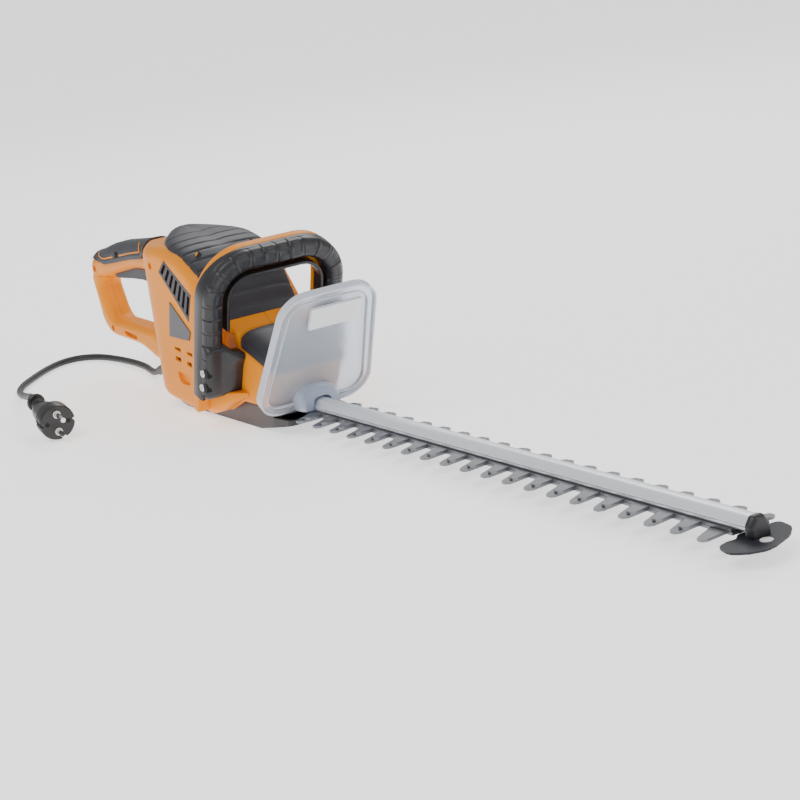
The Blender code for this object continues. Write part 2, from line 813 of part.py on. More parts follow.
def guard_outline(inset):
    bottom = GUARD_HALF[0] - inset
    top = GUARD_HALF[1] - inset
    high = GUARD_HEIGHT - inset
    low = inset * 0.8 if inset else 0.0
    return rounded([(-bottom, low, 24 - inset), (bottom, low, 24 - inset),
                    (top, high, 26 - inset), (-top, high, 26 - inset)], 22.5)


def build_guard():
    rim = extrude("hand_guard", [guard_outline(0)], on_guard, -2.4, 4.0, CLEAR)
    dish = extrude("guard_dish", [guard_outline(8)], on_guard, GUARD_THICK - 2.4, 12,
                   CLEAR)
    tunnel = box("guard_tunnel", (-130, -60), (-9.4, 9.4), (10, 30.2), CLEAR)
    level = box("guard_level", (-130, -60), (-70, 70), (5, 19.6), CLEAR)
    subtract(rim, [dish, tunnel, level])

    side_view = [(-103.0, 20.0), (-72.0, 20.0), (-70.0, 33.0), (-77.0, 41.0),
                 (-87.6, 45.0)]
    foot = extrude("guard_foot", [rounded([(x, z, 3) for x, z in side_view], 45)],
                   along_y, -20, 20, CLEAR)
    foot_tunnel = box("foot_tunnel", (-130, -60), (-9.2, 9.2), (10, 29.8), CLEAR)
    subtract(foot, [foot_tunnel])


# ---- blades -------------------------------------------------------------
BOLT_X = (20.0, 170.0, 320.0, 460.0)
YOKE_HALF_X = ECCENTRIC_SWEEP + BLADE_STROKE + 0.3
YOKE_HALF_Y = ECCENTRIC_SWEEP + 0.3


def tooth(root_x, reach, side):
    """Corners of one tooth, rear flank first."""
    tip_x = root_x + TOOTH_LEAN
    points = [(root_x - 8.5, 11), (tip_x - 5, reach - 3.5), (tip_x - 2.5, reach),
              (tip_x + 2.5, reach), (tip_x + 5, reach - 3.5), (root_x + 8.5, 11)]
    return [(x, y * side) for x, y in points]


def blade(name, first_tooth, shift, reach, end_x, z_range):
    """Toothed strip with a yoke around the eccentric at its rear end."""
    roots = [LAST_TOOTH_X + shift - PITCH * i
             for i in range(TOOTH_PAIRS - 1, first_tooth - 1, -1)]
    yoke_x = GEAR_X + shift / 2 + (-1.5 if shift == 0 else 0.0)
    yoke_end = YOKE_HALF_X + 4.7
    outline = [(yoke_x - yoke_end, -24), (yoke_x + yoke_end, -24),
               (yoke_x + yoke_end, -11)]
    for x in roots:
        outline += tooth(x, reach, -1)
    outline += [(end_x, -11), (end_x, 11)]
    for x in reversed(roots):
        outline += reversed(tooth(x, reach, 1))
    outline += [(yoke_x + yoke_end, 11), (yoke_x + yoke_end, 24),
                (yoke_x - yoke_end, 24)]
    loops = [outline, rectangle(yoke_x - YOKE_HALF_X, yoke_x + YOKE_HALF_X,
                                -YOKE_HALF_Y, YOKE_HALF_Y)]
    offset = yoke_x - GEAR_X
    for bolt_x in BOLT_X:
        x = bolt_x + offset
        corners = [(x - 10.2, -2.6, 2.5), (x + 10.2, -2.6, 2.5),
                   (x + 10.2, 2.6, 2.5), (x - 10.2, 2.6, 2.5)]
        loops.append(rounded(corners, 45))
    extrude(name, loops, along_z, *z_range, STEEL)


def build_blades():
    blade("lower_blade", 0, 0.0, TOOTH_REACH, 501.0, LOWER_BLADE_Z)
    blade("upper_blade", 1, BLADE_REST, UPPER_REACH, 500.0, UPPER_BLADE_Z)

    low, high = BAR_Z
    section = [(-BAR_HALF, low), (BAR_HALF, low), (BAR_HALF, low + 4.8),
               (6.2, high - 1.6), (3.0, high), (-3.0, high), (-6.2, high - 1.6),
               (-BAR_HALF, low + 4.8)]
    bar = extrude("blade_bar", [section], along_x, *BAR_X, ALUMINIUM)
    for i, x in enumerate(BOLT_X):
        bore = rod("bolt_bore_%d" % i, (x, 0, 12), (x, 0, 26.5), 2.35, STEEL, 12)
        subtract(bar, [bore])
        revolve("guide_bolt_%d" % (i + 1),
                rod_profile([(4.5, 11.2, 13.8), (2.0, 13.8, 26.0)]),
                (x, 0, 0), (0, 0, 1), STEEL, 12)

    # end cap with a tongue, riveted to the blunt tip plate
    back = BAR_X[1] + 0.3
    side_view = [(back, 14), (531, 14), (531, 15.4), (CAP_FRONT_X, 15.4),
                 (CAP_FRONT_X, 27.0), (CAP_FRONT_X - 2.0, 28.6), (back, 28.6)]
    cap = extrude("bar_end_cap", [side_view], along_y, -8.6, 8.6, BLACK)
    trims = [extrude("cap_trim_%s" % label,
                     [[(9 * side, 23.4), (9 * side, 30), (3.2 * side, 30),
                       (5.8 * side, 27.4)]], along_x, back - 1, 519.5, BLACK)
             for side, label in ((-1, "right"), (1, "left"))]
    subtract(cap, trims)
    rivet_x = CAP_FRONT_X + 5.6
    tip = rounded([(506, -20, 5), (509, -31, 8), (527, -36, 9), (TIP_X, -22, 14),
                   (TIP_X, -8, 16), (530, 16, 18), (518, 28, 8), (501, 31, 6),
                   (500, 22, 6), (507, 12, 4), (500, 4, 4), (500, -6, 4),
                   (507, -13, 4)], 30)
    plate = extrude("tip_plate", [tip], along_z, 12.0, 13.7, TIP_STEEL)
    hole = rod("rivet_hole", (rivet_x, 0, 10), (rivet_x, 0, 20), 2.3, STEEL, 12)
    subtract(cap, [hole])
    subtract(plate, [hole])
    revolve("tip_rivet", rod_profile([(4.6, 10.2, 11.7), (2.0, 11.7, 15.7),
                                      (4.9, 15.7, 17.4)]),
            (rivet_x, 0, 0), (0, 0, 1), ALUMINIUM, 16)


# ---- gearbox ------------------------------------------------------------
def gear_outline(teeth, tip, root, turn):
    """Involute teeth with backlash, 20 degree pressure angle."""
    pitch_radius = GEAR_MODULE * teeth / 2
    base = pitch_radius * math.cos(math.radians(20))
    backlash = 0.24 / pitch_radius

    def half_tooth(radius):
        ratio = min(1.0, base / radius)
        pressure = math.acos(ratio)
        spread = math.tan(pressure) - pressure
        pitch_spread = math.tan(math.radians(20)) - math.radians(20)
        return math.pi / (2 * teeth) + pitch_spread - spread - backlash

    middle = max(base, pitch_radius - 0.1)
    outline = []
    for i in range(teeth):
        angle = turn + 2 * math.pi * i / teeth
        flank = [(root, half_tooth(max(root, base))), (middle, half_tooth(middle)),
                 (tip, half_tooth(tip))]
        for radius, half in flank:
            outline.append((radius * math.cos(angle - half),
                            radius * math.sin(angle - half)))
        for radius, half in reversed(flank):
            outline.append((radius * math.cos(angle + half),
                            radius * math.sin(angle + half)))
    return outline


def shifted(outline, x):
    return [(px + x, py) for px, py in outline]


def build_gearbox():
    gear = gear_outline(GEAR_TEETH, 27.7, 25.7, 0.0)
    extrude("drive_gear", [shifted(gear, GEAR_X), circle((GEAR_X, 0), 4.4, 16)],
            along_z, *GEAR_Z, STEEL)
    pinion = gear_outline(PINION_TEETH, 6.8, 4.85, math.pi / PINION_TEETH)
    extrude("motor_pinion", [shifted(pinion, MOTOR_X), circle((MOTOR_X, 0), 2.8, 12)],
            along_z, 25.0, 35.5, STEEL)

    # one turned shaft carries an eccentric for each blade, half a turn apart
    lead = BLADE_REST / 2
    swing = math.sqrt(BLADE_STROKE ** 2 - lead ** 2)
    shaft = revolve("eccentric_shaft", rod_profile([(4.0, 12.4, 42.0)]),
                    (GEAR_X, 0, 0), (0, 0, 1), STEEL, 20)
    for label, low, high, way in (("lower", 13.2, 16.55, -1),
                                  ("upper", 16.55, 19.6, 1)):
        centre = (GEAR_X + lead * way, swing * way)
        disc = extrude("eccentric_" + label, [circle(centre, ECCENTRIC_R, 24)],
                       along_z, low, high, STEEL)
        unite(shaft, [disc])
    revolve("gear_bushing", ring_profile(4.35, 7.0, 35.4, 40.0),
            (GEAR_X, 0, 0), (0, 0, 1), BRASS, 20)

    outline = rounded([(-300, -31, 8), (-186, -31, 8), (-186, 31, 8), (-300, 31, 8)])
    casting = extrude("gearbox_housing",
                      [outline, circle((GEAR_X, 0), 7.35, 20),
                       circle((MOTOR_X, 0), 7.0, 20)],
                      along_z, 36.3, 40.0, CASTING)
    seat = revolve("bearing_seat", ring_profile(11.35, 14.0, 39.0, 48.5),
                   (MOTOR_X, 0, 0), (0, 0, 1), CASTING, 24)
    posts = [seat]
    for x in (-291.0, -193.0):
        for y in (-28.6, 28.6):
            posts.append(rod("post_%d_%d" % (x, y), (x, y, 12.4), (x, y, 37.5),
                             3.1, CASTING, 12))
    unite(casting, posts)


# ---- motor --------------------------------------------------------------
def paddle_wheel(blades, inner, outer, web):
    outline = []
    step = 2 * math.pi / blades
    for i in range(blades):
        angle = i * step
        corners = [(inner, angle + step * web), (inner, angle + step * (1 - web)),
                   (outer, angle + step * (1 - web) + 0.12),
                   (outer, angle + step * (1 + web) + 0.12)]
        outline += [(r * math.cos(a), r * math.sin(a)) for r, a in corners]
    return outline


def build_motor():
    up = (0, 0, 1)
    centre = (MOTOR_X, 0, 0)
    revolve("rotor_shaft", rod_profile([(2.5, 23.0, 40.2), (4.0, 40.2, 138.0)]),
            centre, up, STEEL, 16)
    for label, z in (("lower", 41.0), ("upper", 128.0)):
        revolve("rotor_bearing_" + label, ring_profile(4.35, 11.0, z, z + 7.0),
                centre, up, STEEL, 20)
    wheel = shifted(paddle_wheel(14, 14.0, 34.0, 0.12), MOTOR_X)
    extrude("cooling_fan", [wheel, circle((MOTOR_X, 0), 4.4, 16)], along_z,
            52.0, 60.0, WHITE)
    slots = []
    for i in range(12):
        angle = math.radians(30 * i)
        for radius, offset in ((22.0, -0.19), (22.0, 0.19), (18.0, 0.19),
                               (18.0, 0.33)):
            slots.append((MOTOR_X + radius * math.cos(angle + offset),
                          radius * math.sin(angle + offset)))
    extrude("armature_core", [slots, circle((MOTOR_X, 0), 4.4, 16)], along_z,
            66.0, 104.0, LAMINATION)
    revolve("commutator", ring_profile(4.35, 12.0, 110.0, 124.0), centre, up,
            COPPER, 24)
    revolve("motor_stator", ring_profile(23.4, 37.0, 64.0, 106.0), centre, up,
            LAMINATION, 28)
    revolve("bearing_bracket", ring_profile(11.35, 33.0, 130.0, 134.0), centre, up,
            CASTING, 24)
    for side, label in ((-1, "right"), (1, "left")):
        tube = [rectangle(MOTOR_X - 6, MOTOR_X + 6, 112.5, 123.5),
                rectangle(MOTOR_X - 4.5, MOTOR_X + 4.5, 114.0, 122.0)]
        extrude("brush_holder_" + label, tube, along_y, 15 * side, 34 * side, BRASS)
        brush = [rectangle(MOTOR_X - 4.1, MOTOR_X + 4.1, 114.4, 121.6)]
        extrude("carbon_brush_" + label, brush, along_y, 12.5 * side, 30 * side,
                CARBON)
    box("front_switch", (-222, -204), (-10, 10), (58, 88), BLACK)
    rod("capacitor", (-335, 0, 60), (-335, 0, 92), 9.0, ALUMINIUM, 20)
    box("cable_clamp", (-366, -350), (-14, 14), (34, 44), BLACK)


# ---- cord and plug ------------------------------------------------------
CORD_ROUTE = [(-455.0, 3.0, 5.2), (-475.0, 8.0, 3.6), (-499.0, 12.5, 3.55),
              (-532.0, 14.0, 3.55), (-569.0, 11.0, 3.55), (-598.0, 4.0, 3.55),
              (-616.0, -10.0, 3.55), (-618.0, -30.0, 3.55),
              (-605.0, -53.0, 3.55), (-580.0, -80.0, 3.55),
              (-552.0, -105.0, 3.6), (-520.0, -122.0, 5.4),
              (-485.0, -133.0, 9.5), (-443.0, -144.0, 16.5),
              (-405.0, -154.0, 24.0)]


def smooth_route(points, steps):
    """Catmull-Rom points through the route."""
    route = [Vector(p) for p in points]
    route = [route[0] * 2 - route[1]] + route + [route[-1] * 2 - route[-2]]
    result = []
    for a, b, c, d in zip(route, route[1:], route[2:], route[3:]):
        for k in range(steps):
            t = k / steps
            result.append(0.5 * (2 * b + (c - a) * t
                                 + (2 * a - 5 * b + 4 * c - d) * t ** 2
                                 + (3 * b - a - 3 * c + d) * t ** 3))
    return result + [route[-2]]


def tube_along(name, points, radius, sides, finish):
    sections = []
    side = Vector((0, 0, 1))
    for i, point in enumerate(points):
        ahead = points[min(i + 1, len(points) - 1)]
        behind = points[max(i - 1, 0)]
        along = (ahead - behind).normalized()
        side = (side - along * side.dot(along)).normalized()
        other = along.cross(side)
        ring = []
        for k in range(sides):
            angle = 2 * math.pi * k / sides
            ring.append(point + side * radius * math.cos(angle)
                        + other * radius * math.sin(angle))
        sections.append(ring)
    return loft(name, sections, finish)


def build_cord():
    down = (Vector(CORD_EXIT) - Vector(RELIEF_ROOT)).normalized()
    reach = (Vector(CORD_EXIT) - Vector(RELIEF_ROOT)).length
    revolve("strain_relief",
            [(3.85, 0), (6.2, 0), (6.2, 20), (5.7, 22), (5.0, reach), (3.85, reach)],
            RELIEF_ROOT, down, BLACK, 16)
    axis = (Vector(PLUG_FACE) - Vector(PLUG_COLLAR)).normalized()
    length = (Vector(PLUG_FACE) - Vector(PLUG_COLLAR)).length
    route = [moved_along(CORD_EXIT, down, -14), Vector(CORD_EXIT)]
    route += [Vector(p) for p in CORD_ROUTE]
    route += [moved_along(PLUG_COLLAR, axis, reach_in) for reach_in in (-11, 0, 9)]
    tube_along("power_cord", smooth_route(route, 3), CORD_D / 2, 8, CORD_PVC)

    profile = [(0, 12), (3.85, 12), (3.85, 0), (5.4, 0), (7.4, 3), (7.8, 28),
               (12.5, 36), (16.6, 42), (PLUG_R, 47), (PLUG_R, length - 3),
               (PLUG_R - 1.5, length), (0, length)]
    body = revolve("plug_body", profile, PLUG_COLLAR, axis, BLACK, 24)
    lift = (Vector((0, 0, 1)) - axis * axis.z).normalized()
    for offset, label in ((-8.6, "lower"), (8.6, "upper")):
        foot = Vector(PLUG_FACE) + lift * offset
        bore = rod("pin_bore_" + label, foot - axis * 6.4, foot + axis * 3, 2.7,
                   BRASS, 12)
        subtract(body, [bore])
        rod("plug_pin_" + label, foot - axis * 6, foot + axis * 19, 2.35, BRASS, 12)


def main():
    for old in list(bpy.data.objects):
        bpy.data.objects.remove(old, do_unlink=True)
    build_housing()
    build_covers()
    build_base()
    build_front_handle()
    build_rear_handle()
    build_guard()
    build_blades()
    build_gearbox()
    build_motor()
    build_cord()


main()
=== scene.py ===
import json
import math

import bpy
import numpy as np
from mathutils import Matrix, Vector
from mathutils.geometry import delaunay_2d_cdt


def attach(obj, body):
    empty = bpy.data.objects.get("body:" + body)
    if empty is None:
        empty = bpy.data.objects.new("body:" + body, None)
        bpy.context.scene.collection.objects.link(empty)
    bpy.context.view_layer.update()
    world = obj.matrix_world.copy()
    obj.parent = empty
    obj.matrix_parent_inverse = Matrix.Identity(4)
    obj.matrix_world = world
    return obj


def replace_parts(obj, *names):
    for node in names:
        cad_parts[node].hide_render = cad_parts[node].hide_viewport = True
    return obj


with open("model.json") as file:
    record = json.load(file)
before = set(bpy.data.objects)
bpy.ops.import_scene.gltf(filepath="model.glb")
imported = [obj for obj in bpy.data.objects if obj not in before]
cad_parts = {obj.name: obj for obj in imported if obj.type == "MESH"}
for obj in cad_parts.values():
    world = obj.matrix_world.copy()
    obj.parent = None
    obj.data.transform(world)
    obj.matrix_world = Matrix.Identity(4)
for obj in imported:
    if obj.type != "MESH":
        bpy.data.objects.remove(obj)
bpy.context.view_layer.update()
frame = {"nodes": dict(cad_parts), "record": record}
nodes = frame["nodes"]
MM = 0.001
X_AXIS, Y_AXIS, Z_AXIS = Vector((1, 0, 0)), Vector((0, 1, 0)), Vector((0, 0, 1))
SIDES = ((-1, "right"), (1, "left"))


# ---- camera -------------------------------------------------------------
AZIMUTH = math.radians(60.29)
ELEVATION = math.radians(13.71)
ROLL = math.radians(-8.14)
back = Vector((math.sin(AZIMUTH) * math.cos(ELEVATION),
               -math.cos(AZIMUTH) * math.cos(ELEVATION), math.sin(ELEVATION)))
level = (-back).cross(Z_AXIS).normalized()
upward = level.cross(-back)
screen_x = level * math.cos(ROLL) + upward * math.sin(ROLL)
screen_y = upward * math.cos(ROLL) - level * math.sin(ROLL)
camera_data = bpy.data.cameras.new("camera")
camera_data.lens = 103.0
camera_data.clip_end = 120
camera = bpy.data.objects.new("camera", camera_data)
bpy.context.collection.objects.link(camera)
turn = Matrix((screen_x, screen_y, back)).transposed().to_4x4()
camera.matrix_world = Matrix.Translation((1.6941, -0.9365, 0.5070)) @ turn
bpy.context.scene.camera = camera


# ---- materials ----------------------------------------------------------
def new_material(name, colour, roughness, metallic=0.0, **inputs):
    made = bpy.data.materials.new(name)
    made.use_nodes = True
    shader = made.node_tree.nodes["Principled BSDF"]
    shader.inputs["Base Color"].default_value = (*colour, 1.0)
    shader.inputs["Roughness"].default_value = roughness
    shader.inputs["Metallic"].default_value = metallic
    for key, value in inputs.items():
        shader.inputs[key.replace("_", " ")].default_value = value
    return made


def add_grain(made, scale, strength, stretch=(1, 1, 1), detail=3.0):
    """Fine bump and a slight change of roughness over the surface."""
    tree = made.node_tree
    shader = tree.nodes["Principled BSDF"]
    place = tree.nodes.new("ShaderNodeTexCoord")
    mapping = tree.nodes.new("ShaderNodeMapping")
    mapping.inputs["Scale"].default_value = stretch
    noise = tree.nodes.new("ShaderNodeTexNoise")
    noise.inputs["Scale"].default_value = scale
    noise.inputs["Detail"].default_value = detail
    bump = tree.nodes.new("ShaderNodeBump")
    bump.inputs["Strength"].default_value = strength
    bump.inputs["Distance"].default_value = 0.0004
    tree.links.new(place.outputs["Object"], mapping.inputs["Vector"])
    tree.links.new(mapping.outputs["Vector"], noise.inputs["Vector"])
    tree.links.new(noise.outputs["Fac"], bump.inputs["Height"])
    tree.links.new(bump.outputs["Normal"], shader.inputs["Normal"])
    spread = tree.nodes.new("ShaderNodeMapRange")
    rough = shader.inputs["Roughness"].default_value
    spread.inputs["To Min"].default_value = max(0.05, rough - 0.07)
    spread.inputs["To Max"].default_value = min(1.0, rough + 0.07)
    large = tree.nodes.new("ShaderNodeTexNoise")
    large.inputs["Scale"].default_value = 18.0
    tree.links.new(place.outputs["Object"], large.inputs["Vector"])
    tree.links.new(large.outputs["Fac"], spread.inputs["Value"])
    tree.links.new(spread.outputs["Result"], shader.inputs["Roughness"])
    return made


ORANGE = add_grain(new_material("orange_abs", (0.87, 0.28, 0.0), 0.42,
                               Specular_IOR_Level=0.22), 2600, 0.10)
DARK = add_grain(new_material("dark_abs", (0.028, 0.029, 0.037), 0.44,
                             Specular_IOR_Level=0.4), 2200, 0.14)
BLACK = add_grain(new_material("black_abs", (0.016, 0.016, 0.019), 0.36), 2200, 0.14)
# SHADOW is painted shade: a near-black, rough finish for sheets and discs put where
# pockets, holes and recesses hold only shade
SHADOW = new_material("recess_painted_shade", (0.004, 0.004, 0.005), 0.8)
RUBBER = add_grain(new_material("soft_grip", (0.042, 0.043, 0.052), 0.55), 1500, 0.3)
CORD = add_grain(new_material("cord_sheath", (0.018, 0.018, 0.02), 0.5), 900, 0.12)
STEEL = add_grain(new_material("ground_steel", (0.66, 0.67, 0.69), 0.32, 1.0),
                  500, 0.05, (1, 14, 1))
BLADE = add_grain(new_material("blade_steel", (0.20, 0.205, 0.22), 0.42, 0.8),
                  420, 0.06, (1, 12, 1))
SATIN = add_grain(new_material("satin_aluminium", (0.90, 0.92, 0.96), 0.36, 0.6),
                  600, 0.04, (0.05, 10, 10))
PAINT = add_grain(new_material("tip_paint", (0.022, 0.023, 0.03), 0.5,
                              Specular_IOR_Level=0.3), 1500, 0.1)
LABEL = add_grain(new_material("label_film", (0.04, 0.04, 0.05), 0.35), 300, 0.03)
STICKER = add_grain(new_material("white_label", (0.82, 0.83, 0.85), 0.35), 300, 0.03)
CASTING = add_grain(new_material("die_casting", (0.55, 0.56, 0.58), 0.5, 1.0), 900, 0.2)
COPPER = add_grain(new_material("copper", (0.8, 0.4, 0.25), 0.3, 1.0), 900, 0.05)
LAMINATION = add_grain(new_material("lamination", (0.3, 0.3, 0.32), 0.45, 1.0),
                       2500, 0.3, (0.05, 0.05, 1))
NYLON = add_grain(new_material("white_nylon", (0.85, 0.85, 0.82), 0.5), 900, 0.05)
BRASS = add_grain(new_material("plated_pin", (0.82, 0.80, 0.76), 0.25, 1.0), 900, 0.04)
CLEAR = add_grain(new_material("clear_guard", (0.80, 0.86, 0.95), 0.22,
                               Transmission_Weight=0.72, IOR=1.3), 900, 0.04)
RIM = add_grain(new_material("guard_edge", (0.85, 0.88, 0.95), 0.25,
                             Transmission_Weight=0.45, IOR=1.35), 900, 0.04)
FOOT = add_grain(new_material("guard_foot", (0.50, 0.58, 0.72), 0.35,
                              Transmission_Weight=0.35, IOR=1.35), 900, 0.04)
GREY = new_material("milled_line", (0.12, 0.12, 0.14), 0.5)

FINISH = {"orange_plastic": ORANGE, "dark_plastic": DARK, "black_plastic": BLACK,
          "grip_rubber": RUBBER, "clear_plastic": CLEAR, "label_film": LABEL,
          "ground_steel": STEEL, "satin_aluminium": SATIN, "painted_steel": PAINT,
          "die_casting": CASTING, "copper": COPPER, "lamination": LAMINATION,
          "carbon": BLACK, "white_nylon": NYLON, "plated_brass": BRASS,
          "cord_rubber": CORD}
SLOT_OF = {part["node"]: part["material_slot"]
           for part in frame["record"]["subparts"]}
for name, piece in nodes.items():
    finish = FINISH[SLOT_OF[name]]
    if name in ("upper_blade", "lower_blade"):
        finish = BLADE
    piece.data.materials.clear()
    piece.data.materials.append(finish)


# ---- helpers ------------------------------------------------------------
def add_mesh(name, verts, faces, finish, body="tool", stands_for=(), slot=None,
             sharp=35.0):
    """A piece from millimetre points, riding on a body of the frame."""
    mesh = bpy.data.meshes.new(name)
    mesh.from_pydata([Vector(v) * MM for v in verts], [], faces)
    mesh.validate()
    mesh.shade_smooth()
    mesh.set_sharp_from_angle(angle=math.radians(sharp))
    mesh.materials.append(finish)
    piece = bpy.data.objects.new(name, mesh)
    bpy.context.collection.objects.link(piece)
    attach(piece, body)
    if stands_for:
        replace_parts(piece, *stands_for)
    return piece


def add_bevel(piece, width, segments=2, angle=30.0):
    bevel = piece.modifiers.new("bevel", 'BEVEL')
    bevel.width = width * MM
    bevel.segments = segments
    bevel.limit_method = 'ANGLE'
    bevel.angle_limit = math.radians(angle)
    bevel.harden_normals = False


def rounded(corners, step=10.0):
    """Closed outline from (x, y, radius) corners, each one an arc."""
    outline = []
    count = len(corners)
    for i, (x, y, radius) in enumerate(corners):
        here = Vector((x, y))
        behind = Vector(corners[i - 1][:2]) - here
        ahead = Vector(corners[(i + 1) % count][:2]) - here
        half = behind.angle(ahead) / 2
        bend = math.pi - 2 * half
        if radius <= 0 or bend < 0.02:
            outline.append((x, y))
            continue
        reach = radius / math.tan(half)
        limit = 0.48 * min(behind.length, ahead.length)
        if reach > limit:
            reach = limit
            radius = reach * math.tan(half)
        middle = (behind.normalized() + ahead.normalized()).normalized()
        centre = here + middle * (radius / math.sin(half))
        a = here + behind.normalized() * reach - centre
        b = here + ahead.normalized() * reach - centre
        sweep = math.atan2(a.x * b.y - a.y * b.x, a.dot(b))
        pieces = max(1, round(math.degrees(bend) / step))
        for k in range(pieces + 1):
            t = sweep * k / pieces
            outline.append((centre.x + a.x * math.cos(t) - a.y * math.sin(t),
                            centre.y + a.x * math.sin(t) + a.y * math.cos(t)))
    return outline


def inside(point, loops):
    x, y = point
    within = False
    for loop in loops:
        previous = loop[-1]
        for current in loop:
            if (current[1] > y) != (previous[1] > y):
                t = (y - current[1]) / (previous[1] - current[1])
                if x < current[0] + t * (previous[0] - current[0]):
                    within = not within
            previous = current
    return within


def triangulate(loops, extra=()):
    points = [Vector(p) for loop in loops for p in loop]
    edges = []
    start = 0
    for loop in loops:
        size = len(loop)
        edges += [(start + i, start + (i + 1) % size) for i in range(size)]
        start += size
    points += [Vector(p) for p in extra]
    result = delaunay_2d_cdt(points, edges, [], 0, 1e-5)
    flat, triangles, origins = result[0], result[2], result[3]
    kept = []
    for triangle in triangles:
        a, b, c = (flat[i] for i in triangle)
        area = abs((b - a).cross(c - a)) / 2
        if area > 1e-3 and inside((a + b + c) / 3, loops):
            kept.append(tuple(origins[i][0] for i in triangle))
    return kept


def divided(loop, longest):
    points = []
    for i, raw in enumerate(loop):
        start = Vector(raw)
        end = Vector(loop[(i + 1) % len(loop)])
        parts = max(1, math.ceil((end - start).length / longest))
        points += [tuple(start.lerp(end, k / parts)) for k in range(parts)]
    return points


def smooth_step(value):
    t = min(1.0, max(0.0, value))
    return t * t * (3 - 2 * t)


def knot_value(knots, x):
    for (x0, v0), (x1, v1) in zip(knots, knots[1:]):
        if x <= x1:
            return v0 + (v1 - v0) * max(0.0, (x - x0) / (x1 - x0))
    return knots[-1][1]


def bridge(sections, closed_section=True):
    """Vertices and quads that join equal sections in order."""
    size = len(sections[0])
    verts = [p for section in sections for p in section]
    faces = []
    for j in range(len(sections) - 1):
        for i in range(size if closed_section else size - 1):
            n = (i + 1) % size
            a = j * size
            faces.append((a + i, a + n, a + size + n, a + size + i))
    return verts, faces


def loft(sections, flip=False, closed_section=True):
    """Vertices and faces through equal sections, shut at both ends."""
    verts, faces = bridge(sections, closed_section)
    size = len(sections[0])
    start = size * (len(sections) - 1)
    first = tuple(range(size))
    last = tuple(range(start, start + size))
    faces.append(first[::-1] if flip else first)
    faces.append(last if flip else last[::-1])
    return verts, faces


def ring_of(centre, across, along, radius, count, stretch=1.0):
    """Points of a circle round a centre; stretch makes it an ellipse."""
    points = []
    for k in range(count):
        angle = 2 * math.pi * k / count
        points.append(Vector(centre) + across * radius * math.cos(angle)
                      + along * radius * stretch * math.sin(angle))
    return points


def stacked(rings):
    """Vertices and faces of a turned piece, shut by its last ring."""
    verts, faces = bridge(rings)
    faces.append(tuple(range(len(verts) - len(rings[0]), len(verts))))
    return verts, faces


def prism(loops, place, low, high):
    """Vertices and faces of an extruded outline with holes."""
    flat = [p for loop in loops for p in loop]
    count = len(flat)
    verts = [place(u, v, low) for u, v in flat]
    verts += [place(u, v, high) for u, v in flat]
    caps = triangulate(loops)
    faces = [tuple(reversed(t)) for t in caps]
    faces += [tuple(i + count for i in t) for t in caps]
    start = 0
    for loop in loops:
        size = len(loop)
        for i in range(size):
            a = start + i
            b = start + (i + 1) % size
            faces.append((a, b, b + count, a + count))
        start += size
    return verts, faces


# ---- cord ---------------------------------------------------------------
RELIEF_ROOT = Vector((-372.0, 0.0, 31.0))
CORD_EXIT = Vector((-432.0, 0.0, 10.5))
PLUG_COLLAR = Vector((-366.0, -165.0, 27.0))
PLUG_FACE = Vector((-298.0, -172.0, 17.6))
CORD_ROUTE = [(-455.0, 3.0, 5.2), (-475.0, 8.0, 3.6), (-499.0, 12.5, 3.55),
              (-532.0, 14.0, 3.55), (-569.0, 11.0, 3.55), (-598.0, 4.0, 3.55),
              (-616.0, -10.0, 3.55), (-618.0, -30.0, 3.55),
              (-605.0, -53.0, 3.55), (-580.0, -80.0, 3.55),
              (-552.0, -105.0, 3.6), (-520.0, -122.0, 5.4),
              (-485.0, -133.0, 9.5), (-443.0, -144.0, 16.5),
              (-405.0, -154.0, 24.0)]
plug_axis = (PLUG_FACE - PLUG_COLLAR).normalized()
relief_axis = (CORD_EXIT - RELIEF_ROOT).normalized()


def smooth_route(points, steps):
    """Catmull-Rom points through the route."""
    route = [Vector(p) for p in points]
    route = [route[0] * 2 - route[1]] + route + [route[-1] * 2 - route[-2]]
    result = []
    for a, b, c, d in zip(route, route[1:], route[2:], route[3:]):
        for k in range(steps):
            t = k / steps
            result.append(0.5 * (2 * b + (c - a) * t
                                 + (2 * a - 5 * b + 4 * c - d) * t ** 2
                                 + (3 * b - a - 3 * c + d) * t ** 3))
    return result + [route[-2]]


route = [CORD_EXIT - relief_axis * 14, CORD_EXIT] + [Vector(p) for p in CORD_ROUTE]
route += [PLUG_COLLAR + plug_axis * step for step in (-11, 0, 9)]
cord_points = smooth_route(route, 6)
curve = bpy.data.curves.new("cord", 'CURVE')
curve.dimensions = '3D'
curve.bevel_depth = 3.5 * MM
curve.bevel_resolution = 5
curve.use_fill_caps = True
spline = curve.splines.new('POLY')
spline.points.add(len(cord_points) - 1)
for point, target in zip(spline.points, cord_points):
    point.co = (*(target * MM), 1.0)
spline.use_smooth = True
curve.materials.append(CORD)
cord = bpy.data.objects.new("cord", curve)
bpy.context.collection.objects.link(cord)
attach(cord, "tool")
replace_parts(cord, "power_cord")


